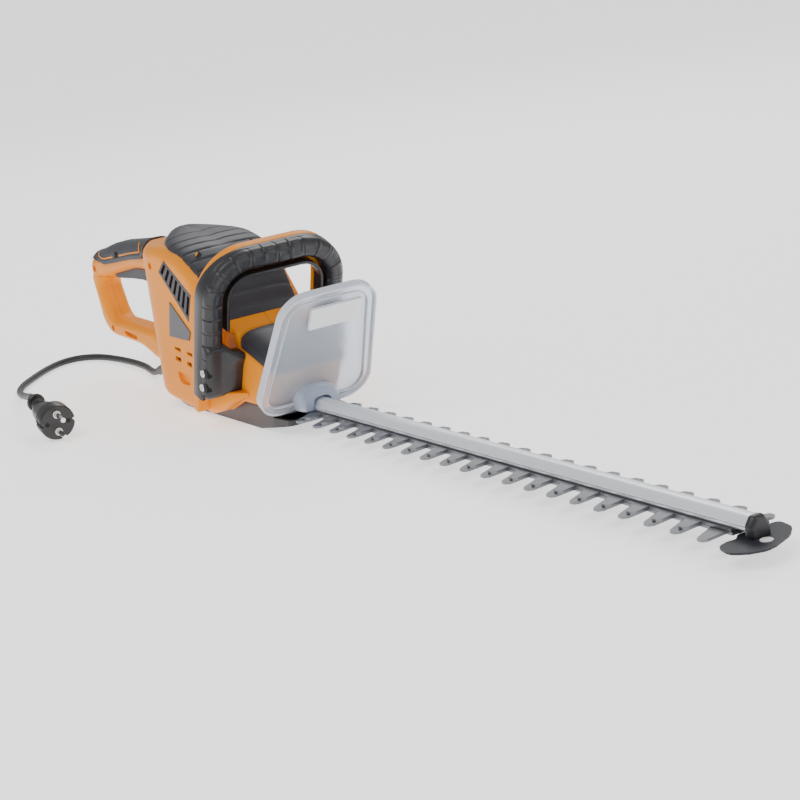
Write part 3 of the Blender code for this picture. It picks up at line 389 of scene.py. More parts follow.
# ---- orange housing -----------------------------------------------------
BODY_HALF = 51.0
NOSE_HALF = 38.6
HANDLE_HALF = 14.0
BAIL_LEAN = math.atan(0.36)
BAIL_FOOT_X = -200.5
NOSE_STEP = 8.0
SKIRT_Y = 37.5                # half-width of the room for the tray
TRAY_TOP = 22.6               # the housing is open below this height
TRAY_REAR = -340.0            # and ahead of this x
HOUSING_OUTLINE = [
    (-541.0, 102.0, 30.0), (-541.0, 124.0, 16.0), (-470.0, 142.8, 160.0),
    (-385.0, 151.8, 60.0), (-362.0, 157.0, 20.0), (-285.0, 162.0, 40.0),
    (-246.0, 156.0, 30.0), (-212.0, 139.0, 20.0), (-179.0, 101.0, 12.0),
    (-163.0, 90.0, 4.0), (-160.0, 77.0, 3.0), (-103.0, 58.0, 5.0),
    (-125.0, 24.5, 0.0), (-126.5, 22.0, 0.0), (-172.0, 22.0, 4.0),
    (-200.0, 10.0, 20.0), (-262.0, 6.0, 60.0), (-337.0, 15.0, 6.0),
    (-346.0, 20.0, 6.0), (-365.0, 23.0, 25.0), (-408.0, 29.0, 30.0),
    (-440.0, 39.0, 60.0), (-524.0, 43.0, 30.0)]
HAND_OPENING = [
    (-523.0, 100.0, 8.0), (-506.0, 60.0, 18.0), (-380.0, 57.0, 20.0),
    (-376.0, 119.2, 9.0), (-387.4, 119.3, 0.0), (-389.0, 119.3, 0.0),
    (-430.0, 120.0, 60.0), (-480.0, 110.0, 30.0), (-492.4, 107.1, 0.0),
    (-494.0, 106.7, 0.0)]
VENT = [(-283.4, 139.0), (-232.8, 94.4), (-219.6, 122.1), (-267.8, 151.6)]


def nose_start(z):
    return BAIL_FOOT_X + z * math.tan(BAIL_LEAN) - 19.0


def half_width(x, z):
    rear = smooth_step((x + 398.0) / 96.0)
    width = HANDLE_HALF + (BODY_HALF - HANDLE_HALF) * rear
    width -= 4.0 * smooth_step((x + 222.0) / 14.0)
    nose = smooth_step((x - nose_start(z)) / NOSE_STEP)
    if z > 88.0:
        nose *= smooth_step((94.0 - z) / 6.0)
    return width + (NOSE_HALF - width) * nose


def edge_radius(x, z):
    if x < -400.0 and z < 66.0:
        return 7.0
    if x < -503.0 and z < 104.0:
        return 8.0
    if x > nose_start(z) and z < 92.0:
        return 5.0
    if z < TRAY_TOP and x > TRAY_REAR:
        return 8.0
    return 12.0 - 2.0 * smooth_step((x + 400.0) / 60.0)


def edge_distances(points, loops):
    """Distance of every point to the nearest side of the loops."""
    starts = np.array([p for loop in loops for p in loop])
    ends = np.array([p for loop in loops for p in loop[1:] + loop[:1]])
    span = ends - starts
    size = np.maximum((span ** 2).sum(1), 1e-9)
    found = []
    for point in np.array(points):
        t = np.clip(((point - starts) * span).sum(1) / size, 0, 1)
        gap = point - starts - span * t[:, None]
        found.append(math.sqrt((gap ** 2).sum(1).min()))
    return found


def skin_height(x, z, distance):
    radius = edge_radius(x, z)
    width = half_width(x, z)
    height = width
    if distance < radius:
        height += math.sqrt(radius ** 2 - (radius - distance) ** 2) - radius
    return height


def inward_normals(loop, loops):
    normals = []
    for i, point in enumerate(loop):
        before = Vector(point) - Vector(loop[i - 1])
        after = Vector(loop[(i + 1) % len(loop)]) - Vector(point)
        along = (before.normalized() + after.normalized()).normalized()
        normal = Vector((-along.y, along.x))
        if not inside(Vector(point) + normal * 0.5, loops):
            normal = -normal
        normals.append(normal)
    return normals


def slot_outline(x, z, length, width, lean):
    """Rounded slot in the side view."""
    along = Vector((math.cos(lean), math.sin(lean)))
    across = Vector((-along.y, along.x))
    corners = [along * a * length / 2 + across * b * width / 2
               for a, b in ((-1, -1), (1, -1), (1, 1), (-1, 1))]
    return rounded([(x + c.x, z + c.y, width * 0.3) for c in corners], 30)


def circle(x, z, radius, count=20):
    return [(x + radius * math.cos(2 * math.pi * k / count),
             z + radius * math.sin(2 * math.pi * k / count))
            for k in range(count)]


def lower_slots():
    """Two rows of two small slots under the rating plate."""
    places = ((-268.0, 64.5, 13.0, 3.4), (-243.0, 62.5, 11.0, 3.4),
              (-270.0, 54.5, 12.0, 4.6), (-247.0, 52.0, 10.0, 4.6))
    return [slot_outline(*place, SLOT_LEAN) for place in places]


# what a recess has at its bottom
OPEN, ORANGE_FLOOR, BLACK_FLOOR = None, 0, 1
SLOT_LEAN = -0.12
HALF_MOON = rounded([(-277.0, 42.0, 2.0), (-250.0, 40.0, 2.0),
                     (-252.0, 30.0, 9.0), (-273.0, 30.0, 9.0)], 20)
BAR_POCKET = rounded([(-478.0, 51.5, 2.5), (-444.0, 50.0, 2.5),
                      (-446.0, 44.0, 3.0), (-470.0, 46.0, 3.0)], 20)
SCREW_HOLES = ((-526.0, 113.0, 3.6), (-503.0, 51.0, 3.4), (-301.0, 143.0, 3.4))
# outline, depth and bottom of every recess in a side of the body
SIDE_RECESSES = [(divided(VENT, 6.0), 6.0, OPEN)]
SIDE_RECESSES += [(slot, 3.0, BLACK_FLOOR) for slot in lower_slots()]
SIDE_RECESSES += [(HALF_MOON, 3.2, ORANGE_FLOOR)]
SIDE_RECESSES += [(circle(*hole), 5.0, ORANGE_FLOOR) for hole in SCREW_HOLES]
SIDE_RECESSES += [(BAR_POCKET, 3.5, ORANGE_FLOOR)]

SKIN_STEP = 5.0               # spacing of the skin's points along the body
ROW_STEP = 4.6                # spacing of its rows
SEAM_GAP = 0.12               # half the gap between the two halves
TRIGGER_SLOT = ((-493.2, -388.2), (102.0, 126.0), 8.1)


def skin_points(loops, holes):
    """Points inside a half's outline: rings along its edge, then rows."""
    outline = [p for loop in loops for p in loop]
    normals = [n for loop in loops for n in inward_normals(loop, loops)]
    points = []
    for factor in (0.03, 0.1, 0.22, 0.38, 0.58, 0.8, 1.0):
        ring = [tuple(Vector(point) + normal * edge_radius(*point) * factor)
                for point, normal in zip(outline, normals)]
        room = edge_distances(ring, loops)
        points += [p for p, source, gap in zip(ring, outline, room)
                   if gap > edge_radius(*source) * factor * 0.9
                   and inside(p, loops)]
    grid = []
    low_x, high_x, low_z, high_z = -541.0, -100.0, 5.0, 163.0
    row = 0
    z = low_z
    while z < high_z:
        x = low_x + (SKIN_STEP / 2 if row % 2 else 0.0)
        while x < high_x:
            if inside((x, z), loops):
                grid.append((x, z))
            x += SKIN_STEP
        z += ROW_STEP
        row += 1
    room = edge_distances(grid, loops)
    points += [p for p, gap in zip(grid, room) if gap > edge_radius(*p) + 2.0]
    room = edge_distances(points, holes)
    return [p for p, gap in zip(points, room)
            if gap > 1.2 and not inside(p, holes)]


def seam_height(x, z, height):
    """Where a rim ends: at the seam, the tray's room or the trigger's slot."""
    (slot_rear, slot_front), (slot_low, slot_high), slot_half = TRIGGER_SLOT
    if slot_rear < x < slot_front and slot_low < z < slot_high:
        return slot_half
    if z < TRAY_TOP and x > TRAY_REAR:
        return min(SKIRT_Y, height - 1.0)
    return SEAM_GAP


def housing_skin(name, side, node):
    """Fine outer skin of one half, with its recesses and the centre seam."""
    loops = [divided(rounded(HOUSING_OUTLINE), SKIN_STEP),
             divided(rounded(HAND_OPENING), SKIN_STEP)]
    holes = [outline for outline, depth, bottom in SIDE_RECESSES]
    rims = [p for loop in loops for p in loop]
    inner = [p for loop in holes for p in loop] + skin_points(loops, holes)
    heights = [skin_height(*p, 0.0) for p in rims]
    heights += [skin_height(*p, gap)
                for p, gap in zip(inner, edge_distances(inner, loops))]
    verts = [(p[0], side * h, p[1]) for p, h in zip(rims + inner, heights)]
    count = sum(len(loop) for loop in loops + holes)
    faces = triangulate(loops + holes, (rims + inner)[count:])
    if side > 0:
        faces = [tuple(reversed(f)) for f in faces]
    finishes = [ORANGE_FLOOR] * len(faces)

    # rims down to the centre seam, then the recesses' walls and floors
    start = 0
    recesses = [(loop, None, OPEN) for loop in loops] + SIDE_RECESSES
    for loop, depth, bottom in recesses:
        base = len(verts)
        size = len(loop)
        for (x, z), height in zip(loop, heights[start:start + size]):
            low = seam_height(x, z, height) if depth is None else height - depth
            verts.append((x, side * low, z))
        for i in range(size):
            n = (i + 1) % size
            faces.append((start + i, start + n, base + n, base + i))
            finishes.append(ORANGE_FLOOR)
        if bottom is not OPEN:
            floor_faces = triangulate([loop])
            faces += [tuple(base + k for k in f) for f in floor_faces]
            finishes += [bottom] * len(floor_faces)
        start += size
    piece = add_mesh(name, verts, faces, ORANGE, stands_for=[node],
                     slot="orange_plastic", sharp=48)
    piece.data.materials.append(BLACK)
    for polygon, index in zip(piece.data.polygons, finishes):
        polygon.material_index = index


housing_skin("housing_skin_right", -1, "housing_right")
housing_skin("housing_skin_left", 1, "housing_left")


# ---- covers over the motor and the gears --------------------------------
ROOF_LOOP = rounded(HOUSING_OUTLINE)
ROOF_END = max(p[0] for p in ROOF_LOOP) - 0.5


def roof(x):
    """Height of the housing's top outline at x."""
    x = min(x, ROOF_END)
    heights = []
    for (x0, z0), (x1, z1) in zip(ROOF_LOOP, ROOF_LOOP[1:] + ROOF_LOOP[:1]):
        if min(x0, x1) <= x <= max(x0, x1) and abs(x1 - x0) > 1e-6:
            heights.append(z0 + (z1 - z0) * (x - x0) / (x1 - x0))
    return max(heights)


MOTOR_CREST = [(-348.0, 161.5), (-338.0, 167.0), (-318.0, 172.5), (-300.0, 171.2),
               (-288.0, 169.3), (-268.0, 166.4), (-253.0, 162.5), (-242.5, 159.0),
               (-235.6, 155.8), (-220.0, 147.5), (-205.0, 136.5), (-190.0, 121.0),
               (-180.0, 109.5), (-176.5, 104.0)]
MOTOR_COVER_HALF = [(-348.0, 4.0), (-343.0, 8.0), (-335.0, 12.5),
                    (-320.0, 19.5), (-310.0, 27.0), (-300.0, 32.5),
                    (-285.0, 38.5), (-268.0, 43.5), (-215.0, 44.0),
                    (-176.0, 37.0)]
GEAR_CREST = [(-158.0, 91.0), (-148.0, 90.0), (-122.0, 81.0), (-108.0, 73.5),
              (-103.5, 66.0)]
GROOVES = [-285.0, -267.0, -254.0, -241.5, -229.0, -216.0, -203.0, -190.0]
GROOVE_LEAN = 0.04            # a groove's lower ends lie farther back
GROOVE_HALF = 1.1
GROOVE_DEPTH = 1.1
SEAM_HALF = 0.7               # half the width of the cover's centre seam
COVER_COUNT = 48              # faces across a cover


def eased(knots, x, reach):
    """Knot values averaged over a short run, so no crease shows."""
    steps = [x + reach * k / 4.0 for k in range(-4, 5)]
    values = [knot_value(knots, max(knots[0][0], step)) for step in steps]
    return sum(values) / len(values)


def cover_section(x, crest, half, base, grooves):
    """Arch across a cover, with its grooves and centre seam pressed in."""
    boxy = 0.95 - 0.4 * smooth_step((x + 330.0) / 60.0)
    section = []
    for k in range(COVER_COUNT + 1):
        angle = math.pi * k / COVER_COUNT
        cosine = math.cos(angle)
        reach = math.copysign(abs(cosine) ** boxy, cosine)
        rise = math.sin(angle) ** (0.1 + boxy)
        y = half * reach
        z = base + (crest - base) * rise
        press = 0.0
        for groove in grooves:
            along = x - groove + GROOVE_LEAN * (crest - z)
            press = max(press, 1.0 - (along / GROOVE_HALF) ** 2)
        if grooves and abs(y) < 0.7 * half:
            press = max(press, 0.8 * (1.0 - (y / SEAM_HALF) ** 2))
        press *= GROOVE_DEPTH
        section.append((x, y - press * reach * 0.8, z - press * rise))
    return section


def cover_skin(name, crest_knots, half_at, grooves, node, step, sink):
    """Arched cover from its rear end to its front end."""
    low_x, high_x = crest_knots[0][0], crest_knots[-1][0]
    rows = int((high_x - low_x) / step)
    sections = []
    for j in range(rows + 1):
        x = low_x + (high_x - low_x) * j / rows
        sections.append(cover_section(x, eased(crest_knots, x, 5.0), half_at(x),
                                      roof(x) - sink, grooves))
    verts, faces = loft(sections, closed_section=False)
    add_mesh(name, verts, faces, DARK, stands_for=[node], slot="dark_plastic",
             sharp=40)


cover_skin("motor_cover_skin", MOTOR_CREST,
           lambda x: eased(MOTOR_COVER_HALF, x, 4.0), GROOVES, "motor_cover",
           1.3, 1.0)
cover_skin("gear_cover_skin", GEAR_CREST, lambda x: NOSE_HALF - 1.0, [],
           "gear_cover", 2.0, 0.3)


def cover_holes():
    """Screw holes in the motor cover's flanks, orange at their bottoms."""
    for side, label in SIDES:
        centre = Vector((-236.0, 31.0 * side, 155.0))
        outward = Vector((0.0, side, 1.0)).normalized()
        across = outward.cross(X_AXIS).normalized()
        for part, radius, lift, finish, slot in (
                ("rim", 3.6, 0.5, BLACK, "black_plastic"),
                ("plug", 2.3, 0.8, ORANGE, "orange_plastic")):
            rings = [ring_of(centre + outward * height, X_AXIS, across, radius,
                             16, 1.35) for height in (-3.0, lift)]
            verts, faces = stacked(rings)
            add_mesh("cover_hole_%s_%s" % (part, label), verts, faces, finish,
                     slot=slot)


cover_holes()


# ---- front handle -------------------------------------------------------
BAIL_HALF = 61.0
BAIL_TOP = 168.0
BAIL_CORNER = 34.0
BAIL_OUTER = 73.4             # outer face of the handle's boots


def on_bail(y, up, depth):
    """Point on the front handle's plane; depth is toward the blades."""
    return (BAIL_FOOT_X + up * math.sin(BAIL_LEAN) + depth * math.cos(BAIL_LEAN),
            y, up * math.cos(BAIL_LEAN) - depth * math.sin(BAIL_LEAN))


def bail_path(leg_end, spacing):
    """Stations (y, up, outward y, outward up, distance) round the arch."""
    knee = BAIL_TOP - BAIL_CORNER
    inner = BAIL_HALF - BAIL_CORNER
    bend = BAIL_CORNER * math.pi / 2
    span = 2 * inner
    leg = knee - leg_end
    total = 2 * leg + 2 * bend + span
    count = round(total / spacing)
    path = []
    for k in range(count + 1):
        s = total * k / count
        if leg < s <= leg + bend or leg + bend + span < s <= total - leg:
            rising = s <= leg + bend
            turned = s - leg if rising else s - leg - span
            a = math.pi - turned / BAIL_CORNER
            y = (-inner if rising else inner) + BAIL_CORNER * math.cos(a)
            path.append((y, knee + BAIL_CORNER * math.sin(a), math.cos(a),
                         math.sin(a), s))
        elif s <= leg:
            path.append((-BAIL_HALF, leg_end + s, -1.0, 0.0, s))
        elif s <= leg + bend + span:
            path.append((s - leg - bend - inner, BAIL_TOP, 0.0, 1.0, s))
        else:
            path.append((BAIL_HALF, leg_end + total - s, 1.0, 0.0, s))
    return path, total


def bail_skin(name, section_at, leg_end, spacing, finish, **where):
    """Sweep of a section that may change with the distance along the arch."""
    path, total = bail_path(leg_end, spacing)
    sections = []
    for y, up, out_y, out_up, s in path:
        sections.append([on_bail(y + out_y * out, up + out_up * out, depth)
                         for out, depth in section_at(s, total)])
    verts, faces = loft(sections, flip=True)
    add_mesh(name, verts, faces, finish, **where)


BACK_SECTION = divided(rounded([(-12, -2.1, 0.8), (-12, -14, 5), (12, -14, 6.5),
                                (12, -2.1, 0.8)], 12), 4.0)
bail_skin("handle_back_skin", lambda s, total: BACK_SECTION, 18.0, 3.0, ORANGE,
          stands_for=["front_handle_back"], slot="orange_plastic")

GRIP_SECTION = divided(rounded([(-7, -1.9, 0.6), (12, -1.9, 0.8), (12, 14, 9.5),
                                (-7, 14, 8.5)], 8), 1.3)
RIB_PITCH = 13.5              # spacing of the grooves round the soft grip
RIB_START = 38.0              # plain length at each end of the grip
RIB_HALF = 0.7
RIB_DEPTH = 0.75
PAD_DEPTH = 0.55              # sunk pads between two grooves


def grip_section(s, total):
    """Grip section with finger bands: fine grooves and two rows of pads."""
    points = []
    along = min(s, total - s)
    phase = ((s - total / 2) / RIB_PITCH) % 1.0
    from_groove = min(phase, 1 - phase) * RIB_PITCH
    groove = max(0.0, 1.0 - (from_groove / RIB_HALF) ** 2)
    if along < RIB_START:
        groove = 0.0
    has_pad = 0.18 < phase < 0.82 and along > RIB_START
    for out, depth in GRIP_SECTION:
        normal = Vector((out - 2.5, depth - 5.0)).normalized()
        press = 0.0
        if depth > 1.0:
            press = RIB_DEPTH * groove
            if has_pad and 2.0 < out < 11.0 and depth > 3.0:
                press = PAD_DEPTH
        points.append((out - normal.x * press, depth - normal.y * press))
    return points


bail_skin("handle_grip_skin", grip_section, 40.0, 1.0, BLACK, sharp=30)
SLEEVE_LEG = -12.6            # how far back the soft grip wraps at the legs


def sleeve_section(s, total):
    """Black cheek on the outer side, deep at the legs, gone at the top."""
    along = min(s, total - s)
    fade = smooth_step((along - 95.0) / 75.0)
    rear = SLEEVE_LEG + (-1.0 - SLEEVE_LEG) * fade
    out = 12.5 - 0.4 * fade
    return [(6.0, 3.0), (6.0, rear + 2.0), (9.0, rear), (out - 0.8, rear + 0.9),
            (out, rear + 3.0), (out, 3.0), (out - 1.4, 6.0)]


bail_skin("handle_sleeve_skin", sleeve_section, 34.0, 2.5, BLACK, sharp=30,
          slot="black_plastic")


def boot_skin(side, label):
    """Lower end of the grip: carries the screws and meets the gear cover."""
    inner = [(-188.0, 33.0), (-169.0, 33.0), (-156.5, 61.0), (-149.0, 68.0),
             (-150.0, 72.5), (-160.0, 75.0), (-173.0, 74.0)]
    outer = [(-197.0, 38.0), (-174.0, 29.0), (-165.0, 50.0), (-159.0, 66.0),
             (-154.5, 79.0), (-163.0, 88.0), (-180.0, 90.0)]
    radii = [10.0, 8.0, 30.0, 5.0, 4.0, 6.0, 2.0]
    low_y, middle, rounding, count = 38.9, Vector((-173.0, 58.0)), 6.0, 18
    sections = []
    for k in range(count + 1):
        t = k / count
        y = low_y + (BAIL_OUTER - low_y) * t
        blend = smooth_step((t - 0.12) / 0.5)
        knots = [(a[0] + (b[0] - a[0]) * blend, a[1] + (b[1] - a[1]) * blend, r)
                 for a, b, r in zip(inner, outer, radii)]
        inset = 0.0
        if BAIL_OUTER - y < rounding:
            sunk = rounding - BAIL_OUTER + y
            inset = rounding - math.sqrt(rounding ** 2 - sunk ** 2)
        ring = []
        for x, z in rounded(knots, 15):
            point = Vector((x, z))
            point += (middle - point).normalized() * inset * 0.6
            ring.append((point.x, y * side, point.y))
        sections.append(ring)
    # a known fault: these rings have 31 to 34 points where loft expects 33,
    # so the surface is a little twisted and validate() drops the outer end
    verts, faces = loft(sections, flip=True)
    return add_mesh("handle_boot_" + label, verts, faces, BLACK,
                    slot="black_plastic", sharp=45)


for side, label in SIDES:
    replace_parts(boot_skin(side, label), "front_handle_grip")
    # two thin near-black prisms of painted shade stand for the pockets beside the
    # screws
    for x, z in ((-165.5, 58.0), (-171.0, 44.0)):
        corners = [(x + a * 3.0, z + b * 4.0, 1)
                   for a, b in ((-1, -1), (1, -1), (1, 1), (-1, 1))]
        verts, faces = prism([rounded(corners, 30)],
                             lambda u, v, w: (u, w * side, v), 69.0, 73.7)
        add_mesh("boot_pocket_shade_%s_%d" % (label, -x), verts, faces, SHADOW,
                 slot="black_plastic")


def fairing(side, label):
    """Orange wing that carries the body's side out to the front handle."""
    # x, inner y, outer y, low z and high z of the wing
    rows = [(-232.0, 46.0, 46.9, 8.0, 26.0), (-224.0, 46.0, 48.5, 7.5, 60.0),
            (-216.0, 44.0, 52.0, 8.0, 66.0), (-207.0, 38.2, 57.0, 9.5, 60.0),
            (-198.0, 38.2, 61.0, 12.0, 52.0), (-189.0, 38.2, 62.0, 15.5, 44.0),
            (-180.0, 38.2, 59.0, 20.0, 38.0), (-170.0, 38.2, 52.0, 24.5, 35.0),
            (-161.0, 38.2, 44.0, 28.0, 34.0), (-155.0, 38.2, 39.2, 31.0, 33.5)]
    sections = []
    for j in range(37):
        x = rows[0][0] + (rows[-1][0] - rows[0][0]) * j / 36
        inner, outer, low, high = (knot_value([(r[0], r[n]) for r in rows], x)
                                   for n in (1, 2, 3, 4))
        size = min(8.0, 0.45 * (outer - inner), 0.45 * (high - low))
        ring = rounded([(inner, low, 0), (outer, low, size),
                        (outer, high, size * 0.5), (inner, high, 0)], 15)
        ring = (ring + [ring[-1]] * 16)[:16]
        sections.append([(x, side * y, z) for y, z in ring])
    verts, faces = bridge(sections)
    add_mesh("handle_fairing_" + label, verts, faces, ORANGE,
             slot="orange_plastic", sharp=50)


for side, label in SIDES:
    fairing(side, label)
nodes["front_switch_lever"].data.materials[0] = BLACK


def handle_screws():
    """Round heads with a socket, two on each boot of the front handle."""
    for key, x, z in (("upper", -172.0, 58.0), ("lower", -178.0, 44.0)):
        for side, label in SIDES:
            rings = [ring_of((x, y * side, z), X_AXIS, Z_AXIS, radius, 20)
                     for radius, y in ((3.7, 72.6), (3.7, 73.9), (3.2, 74.6),
                                       (1.2, 74.7), (1.0, 73.8))]
            verts, faces = stacked(rings)
            head = add_mesh("screw_head_%s_%s" % (label, key), verts, faces,
                            STEEL, slot="ground_steel")
            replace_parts(head, "handle_screw_%s_%s" % (label, key))


handle_screws()


# ---- hand guard ---------------------------------------------------------
GUARD_FOOT = (-111.0, 20.0)
GUARD_LEAN = math.atan(0.6)


def on_guard(y, up, depth):
    """Point of the guard's plane; depth is toward the blades."""
    return (GUARD_FOOT[0] + up * math.sin(GUARD_LEAN) + depth * math.cos(GUARD_LEAN),
            y,
            GUARD_FOOT[1] + up * math.cos(GUARD_LEAN) - depth * math.sin(GUARD_LEAN))


def guard_loop(inset):
    """Outline of the guard, moved inward by the inset."""
    low, high = 60 - inset, 47 - inset
    low_radius, high_radius = max(4.0, 24 - inset), max(4.0, 26 - inset)
    return rounded([(-low, 0.6 + inset, low_radius),
                    (low, 0.6 + inset, low_radius),
                    (high, 134 - inset, high_radius),
                    (-high, 134 - inset, high_radius)], 7.5)


def guard_ring(name, outer, inner, low, high, finish, **where):
    """Raised band between two insets of the guard's outline."""
    verts, faces = prism([guard_loop(outer), guard_loop(inner)], on_guard,
                         low, high)
    add_mesh(name, verts, faces, finish, slot="clear_plastic", **where)


guard_ring("guard_rim", -0.4, 1.6, -2.6, 4.6, RIM)
guard_ring("guard_step", 7.4, 8.4, 1.6, 4.3, RIM)
sticker = rounded([(-18.0, 94.0, 1.0), (34.0, 94.0, 1.0), (34.0, 117.0, 1.0),
                   (-18.0, 117.0, 1.0)], 30)
verts, faces = prism([sticker], on_guard, 1.6, 4.4)
add_mesh("guard_label", verts, faces, STICKER, slot="label_film")


# ---- guide bar, end cap and tip plate -----------------------------------
def along_bar(y, z, x):
    return (x, y, z)


def bar_skin():
    """Chamfered guide bar with two fine lines along each side."""
    corners = [(-8.9, 18.9), (8.9, 18.9), (8.8, 22.6), (5.4, 27.8), (2.7, 29.0),
               (-2.7, 29.0), (-5.4, 27.8), (-8.8, 22.6)]
    section = rounded([(y, z, 0.8) for y, z in corners], 30)
    verts, faces = prism([section], along_bar, -150.0, 513.1)
    add_mesh("bar_skin", verts, faces, SATIN, stands_for=["blade_bar"],
             slot="satin_aluminium", sharp=30)
    for side, label in SIDES:
        for z, size in ((19.5, 0.4), (21.9, 0.2)):
            line = [(side * 8.6, z - size), (side * 9.05, z - size),
                    (side * 9.05, z + size), (side * 8.6, z + size)]
            verts, faces = prism([line], along_bar, -70.0, 513.0)
            add_mesh("bar_line_%s_%d" % (label, z), verts, faces, GREY,
                     slot="satin_aluminium")


def cap_skin():
    """Arched cap that closes the bar's front end."""
    sections = []
    for x, half, top, low in ((512.9, 9.2, 29.3, 15.2), (514.6, 9.5, 29.5, 14.6),
                              (517.6, 8.9, 29.0, 14.2), (518.8, 7.9, 28.2, 14.0),
                              (519.3, 6.6, 27.0, 14.0)):
        loop = rounded([(-half, low, 0.6), (half, low, 0.6),
                        (half, top - 6.5, 3.0), (half - 4.6, top, 3.4),
                        (-half + 4.6, top, 3.4), (-half, top - 6.5, 3.0)], 12)
        sections.append([(x, y, z) for y, z in loop])
    verts, faces = loft(sections)
    add_mesh("cap_skin", verts, faces, BLACK, stands_for=["bar_end_cap"],
             slot="black_plastic", sharp=40)


def rivet_head():
    """Low domed rivet on the tip plate."""
    rings = [ring_of((526.6, -2.4, z), X_AXIS, Y_AXIS, radius, 32)
             for radius, z in ((4.8, 13.5), (4.8, 14.2), (4.2, 14.6), (1.6, 14.75))]
    verts, faces = stacked(rings)
    add_mesh("rivet_head", verts, faces, NYLON, stands_for=["tip_rivet"],
             slot="ground_steel")


def guard_foot_skin():
    """Arched foot of the guard, over the bar."""
    base, boxy, count = 19.8, 0.6, 16
    # x, half-width and height round the foot's own section
    profile = ((-108.0, 20.5, 42.0), (-95.0, 20.0, 41.5), (-89.0, 19.0, 39.0),
               (-86.0, 17.5, 35.5), (-86.0, 10.0, 31.0), (-108.0, 10.0, 31.0))
    rows = []
    for k in range(count + 1):
        angle = math.pi * k / count
        reach = math.copysign(abs(math.cos(angle)) ** boxy, math.cos(angle))
        rise = math.sin(angle) ** boxy
        rows.append([(x, half * reach, base + (top - base) * rise)
                     for x, half, top in profile])
    verts, faces = loft(rows)
    add_mesh("guard_foot_skin", verts, faces, FOOT, stands_for=["guard_foot"],
             slot="clear_plastic", sharp=50)


bar_skin()
cap_skin()
rivet_head()
guard_foot_skin()
for name in ("tip_plate", "base_cover", "trigger",
             "strain_relief", "vent_grille_right", "vent_grille_left"):
    add_bevel(nodes[name], 0.35)
for name in ("upper_blade", "lower_blade"):
    add_bevel(nodes[name], 0.4, 1, 50)
nodes["tip_plate"].data.materials[0] = PAINT


# ---- soft grip on the rear handle ---------------------------------------
GRIP_REAR, GRIP_FRONT = -524.5, -388.0
GRIP_LOW = [(-524.5, 134.0), (-521.0, 128.5), (-513.0, 124.6), (-490.0, 121.0),
            (-458.0, 126.0), (-429.0, 131.0), (-396.0, 135.0), (-388.0, 141.0)]


def on_grip(x, way, lift):
    """Y, z and distance from the lower edge; way is 1 at the crown."""
    top = roof(x)
    radius = edge_radius(x, top - 14.0)
    half = half_width(x, top - 14.0)
    low = min(knot_value(GRIP_LOW, x), top - 4.0)
    reach = radius + lift
    straight = max(0.0, top - radius - low)
    start = 0.0
    if low > top - radius:
        start = math.asin(min(1.0, (low - top + radius) / reach))
    bend = (math.pi / 2 - start) * reach
    flat = max(0.0, half - radius)
    distance = way * (straight + bend + flat)
    if distance <= straight:
        return half + lift, low + distance, distance
    if distance <= straight + bend:
        angle = start + (distance - straight) / reach
        return (half - radius + reach * math.cos(angle),
                top - radius + reach * math.sin(angle), distance)
    return flat - (distance - straight - bend), top + lift, distance


def grip_edge_lift(x, way):
    """Height of the pad over the handle: a border with a lower middle."""
    distance = on_grip(x, way, 2.2)[2]
    to_edge = min(distance, x - GRIP_REAR, GRIP_FRONT - x)
    return 3.3 - 0.75 * smooth_step((to_edge - 4.2) / 0.9)


def rear_grip_skin(count=110, half_count=30):
    """Soft saddle over the handle's top, its lower edges tucked in."""
    sections = []
    for j in range(count + 1):
        x = GRIP_REAR + (GRIP_FRONT - GRIP_REAR) * j / count
        half = []
        for k in range(half_count + 1):
            way = k / half_count
            half.append(on_grip(x, way, grip_edge_lift(x, way))[:2])
        tucked_y, tucked_z = on_grip(x, 0.0, -0.6)[:2]
        ring = half + [(-y, z) for y, z in reversed(half[:-1])]
        ring += [(-tucked_y, tucked_z), (tucked_y, tucked_z)]
        sections.append([(x, y, z) for y, z in ring])
    verts, faces = loft(sections)
    add_mesh("rear_grip_skin", verts, faces, RUBBER, stands_for=["rear_grip"],
             slot="grip_rubber", sharp=40)


rear_grip_skin()
GRIP_GIRTH = 34.0             # from the lower edge to the crown


def grip_strip(name, route, width, side):
    """Thin raised line that follows the saddle's surface."""
    stations = []
    for (x0, w0), (x1, w1) in zip(route, route[1:]):
        parts = max(2, int(abs(x1 - x0) / 3.0) + int(abs(w1 - w0) * 12))
        stations += [(x0 + (x1 - x0) * k / parts, w0 + (w1 - w0) * k / parts)
                     for k in range(parts)]
    stations.append(route[-1])
    sections = []
    for n, (x, way) in enumerate(stations):
        ahead = stations[min(n + 1, len(stations) - 1)]
        behind = stations[max(n - 1, 0)]
        along = Vector((ahead[0] - behind[0], (ahead[1] - behind[1]) * GRIP_GIRTH))
        across = Vector((-along.y, along.x)).normalized() * width / 2
        ring = []
        for sign, lift in ((-1, 2.0), (-1, 3.1), (1, 3.1), (1, 2.0)):
            here_x = x + across.x * sign
            here_way = max(0.0, way + across.y * sign / GRIP_GIRTH)
            y, z = on_grip(here_x, here_way, lift)[:2]
            ring.append((here_x, side * y, z))
        sections.append(ring)
    verts, faces = loft(sections)
    add_mesh(name, verts, faces, ORANGE, slot="orange_plastic")


for side, label in SIDES:
    grip_strip("grip_line_rear_" + label,
               [(-512.0, 0.42), (-507.0, 0.24), (-500.0, 0.20), (-466.0, 0.20)],
               1.5, side)
    grip_strip("grip_line_front_" + label,
               [(-449.0, 0.20), (-398.0, 0.24), (-407.0, 0.62)], 1.5, side)
    # near-black disc of painted shade where the grip shows a hole
    middle_y, middle_z = on_grip(-458.0, 0.24, 2.9)[:2]
    rings = [ring_of((-458.0, side * y, middle_z), X_AXIS, Z_AXIS, 3.0, 18, 1.2)
             for y in (middle_y - 1.0, middle_y + 0.35)]
    verts, faces = stacked(rings)
    add_mesh("grip_hole_shade_" + label, verts, faces, SHADOW, slot="black_plastic")


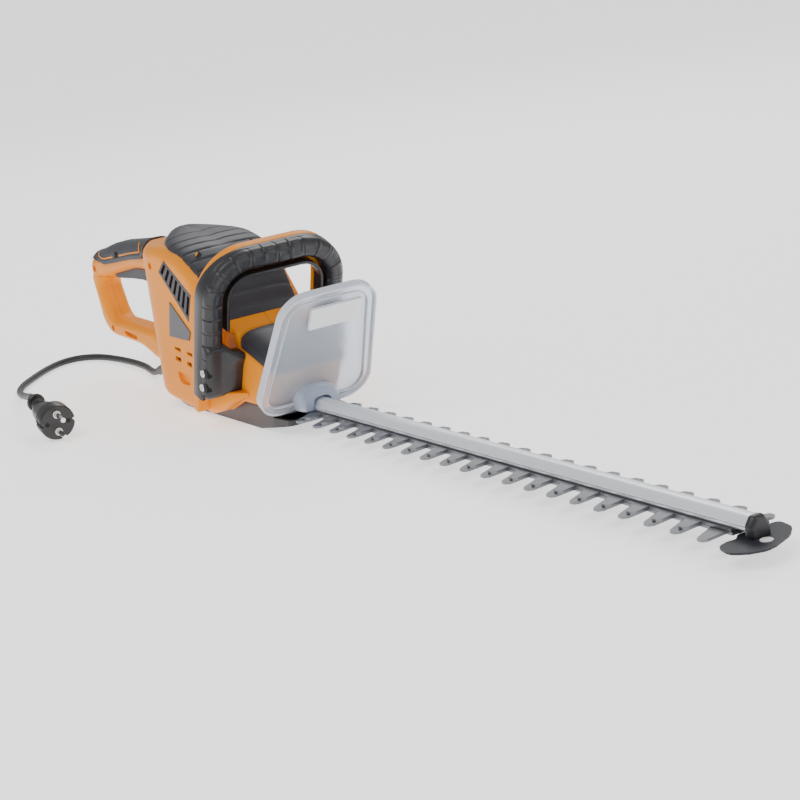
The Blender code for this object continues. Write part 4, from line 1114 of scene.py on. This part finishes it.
# ---- plug ---------------------------------------------------------------
plug_side = plug_axis.cross(Z_AXIS).normalized()
plug_up = plug_side.cross(plug_axis).normalized()
plug_long = (PLUG_FACE - PLUG_COLLAR).length


def plug_profile():
    """Distance from the collar and radius along the plug."""
    profile = [(0.2, 4.2), (0.4, 8.0), (1.4, 8.9), (3.6, 8.9), (4.8, 8.0),
               (5.2, 5.4)]
    for k in range(4):
        rib = 3 * k
        profile += [(6.4 + rib, 5.3), (6.9 + rib, 6.4), (8.1 + rib, 6.4),
                    (8.6 + rib, 5.3)]
    profile += [(19.0, 6.6), (22.0, 8.6), (30.0, 10.4), (44.0, 11.6),
                (49.0, 13.0), (52.5, 16.0), (54.0, 17.3),
                (plug_long - 2.0, 17.4), (plug_long - 0.6, 17.0),
                (plug_long, 16.2)]
    return profile


def plug_skin(count=96):
    """Ribbed neck, flattened body and round face with a notch on each side."""
    rings = []
    for along, radius in plug_profile():
        ring = []
        for k in range(count):
            angle = 2 * math.pi * k / count
            from_side = 90.0 - abs(math.degrees(angle) % 180.0 - 90.0)
            size = radius
            if radius > 15.5 and from_side < 7.0:
                size = radius - 2.6
            if 6.5 < radius < 15.0 and along > 18.0:
                size = radius * (1.0 + 0.22 * math.cos(2 * angle))
            outward = plug_side * math.cos(angle) + plug_up * math.sin(angle)
            ring.append(PLUG_COLLAR + plug_axis * along + outward * size)
        rings.append(ring)
    verts, faces = loft(rings, flip=True)
    return add_mesh("plug_skin", verts, faces, BLACK, stands_for=["plug_body"],
                    slot="black_plastic", sharp=35)


plug_pieces = [plug_skin()]


def plug_disc(name, centre, outer, inner, low, high, finish, slot):
    """Ring or disc on the plug's face round a point of that face."""
    count = 24
    rings = [ring_of(centre + plug_axis * along, plug_side, plug_up, radius, count)
             for radius, along in ((outer, low), (outer, high), (inner, high),
                                   (inner, low))]
    verts, faces = bridge(rings)
    if inner < 0.5:
        faces.append(tuple(range(2 * count, 3 * count)))
    plug_pieces.append(add_mesh(name, verts, faces, finish, slot=slot))


pin_offsets = []
for name in ("plug_pin_lower", "plug_pin_upper"):
    pin = nodes[name]
    points = [pin.matrix_world @ vertex.co for vertex in pin.data.vertices]
    middle = sum(points, Vector()) / len(points) / MM
    offset = middle - PLUG_FACE
    offset -= plug_axis * offset.dot(plug_axis)
    pin_offsets.append(offset)
    plug_disc(name.replace("plug_pin", "pin_collar"), PLUG_FACE + offset,
              3.7, 2.6, -0.5, 0.7, NYLON, "white_nylon")
spread = (pin_offsets[1] - pin_offsets[0]).normalized()
sideways = plug_axis.cross(spread).normalized()
# two thin near-black discs of painted shade stand for the holes in the plug's face
for sign, label in ((-1, "a"), (1, "b")):
    plug_disc("plug_recess_shade_" + label, PLUG_FACE + sideways * sign * 10.5, 2.2,
              0.1, -0.5, 0.12, SHADOW, "black_plastic")


# ---- floor and light ----------------------------------------------------
floor_mesh = bpy.data.meshes.new("floor")
FLOOR_HALF, FLOOR_Z = 40.0, -0.0008
floor_mesh.from_pydata([(a * FLOOR_HALF, b * FLOOR_HALF, FLOOR_Z) for a, b in
                        ((-1, -1), (1, -1), (1, 1), (-1, 1))], [], [(0, 1, 2, 3)])
floor_paint = new_material("floor", (0.9, 0.9, 0.9), 0.9)
floor_shader = floor_paint.node_tree.nodes["Principled BSDF"]
floor_shader.inputs["Emission Color"].default_value = (1, 1, 1, 1)
floor_shader.inputs["Emission Strength"].default_value = 1.05
floor_mesh.materials.append(floor_paint)
floor = bpy.data.objects.new("floor", floor_mesh)
bpy.context.collection.objects.link(floor)

world = bpy.data.worlds.new("studio")
world.use_nodes = True
world.node_tree.nodes["Background"].inputs["Color"].default_value = (1, 1, 1, 1)
world.node_tree.nodes["Background"].inputs["Strength"].default_value = 0.6
bpy.context.scene.world = world


def add_light(name, place, target, size, power):
    data = bpy.data.lights.new(name, 'AREA')
    data.shape = 'RECTANGLE'
    data.size, data.size_y = size
    data.energy = power
    light = bpy.data.objects.new(name, data)
    bpy.context.collection.objects.link(light)
    light.location = place
    aim = Vector(target) - Vector(place)
    light.rotation_euler = aim.to_track_quat('-Z', 'Y').to_euler()


add_light("key", (0.3, -1.6, 2.4), (-0.2, 0, 0.05), (1.8, 1.2), 30)
add_light("fill", (2.2, 0.9, 1.3), (0, 0, 0.05), (1.5, 1.0), 13)
add_light("back", (-1.6, 1.3, 1.7), (-0.2, 0, 0.1), (1.4, 0.8), 17)
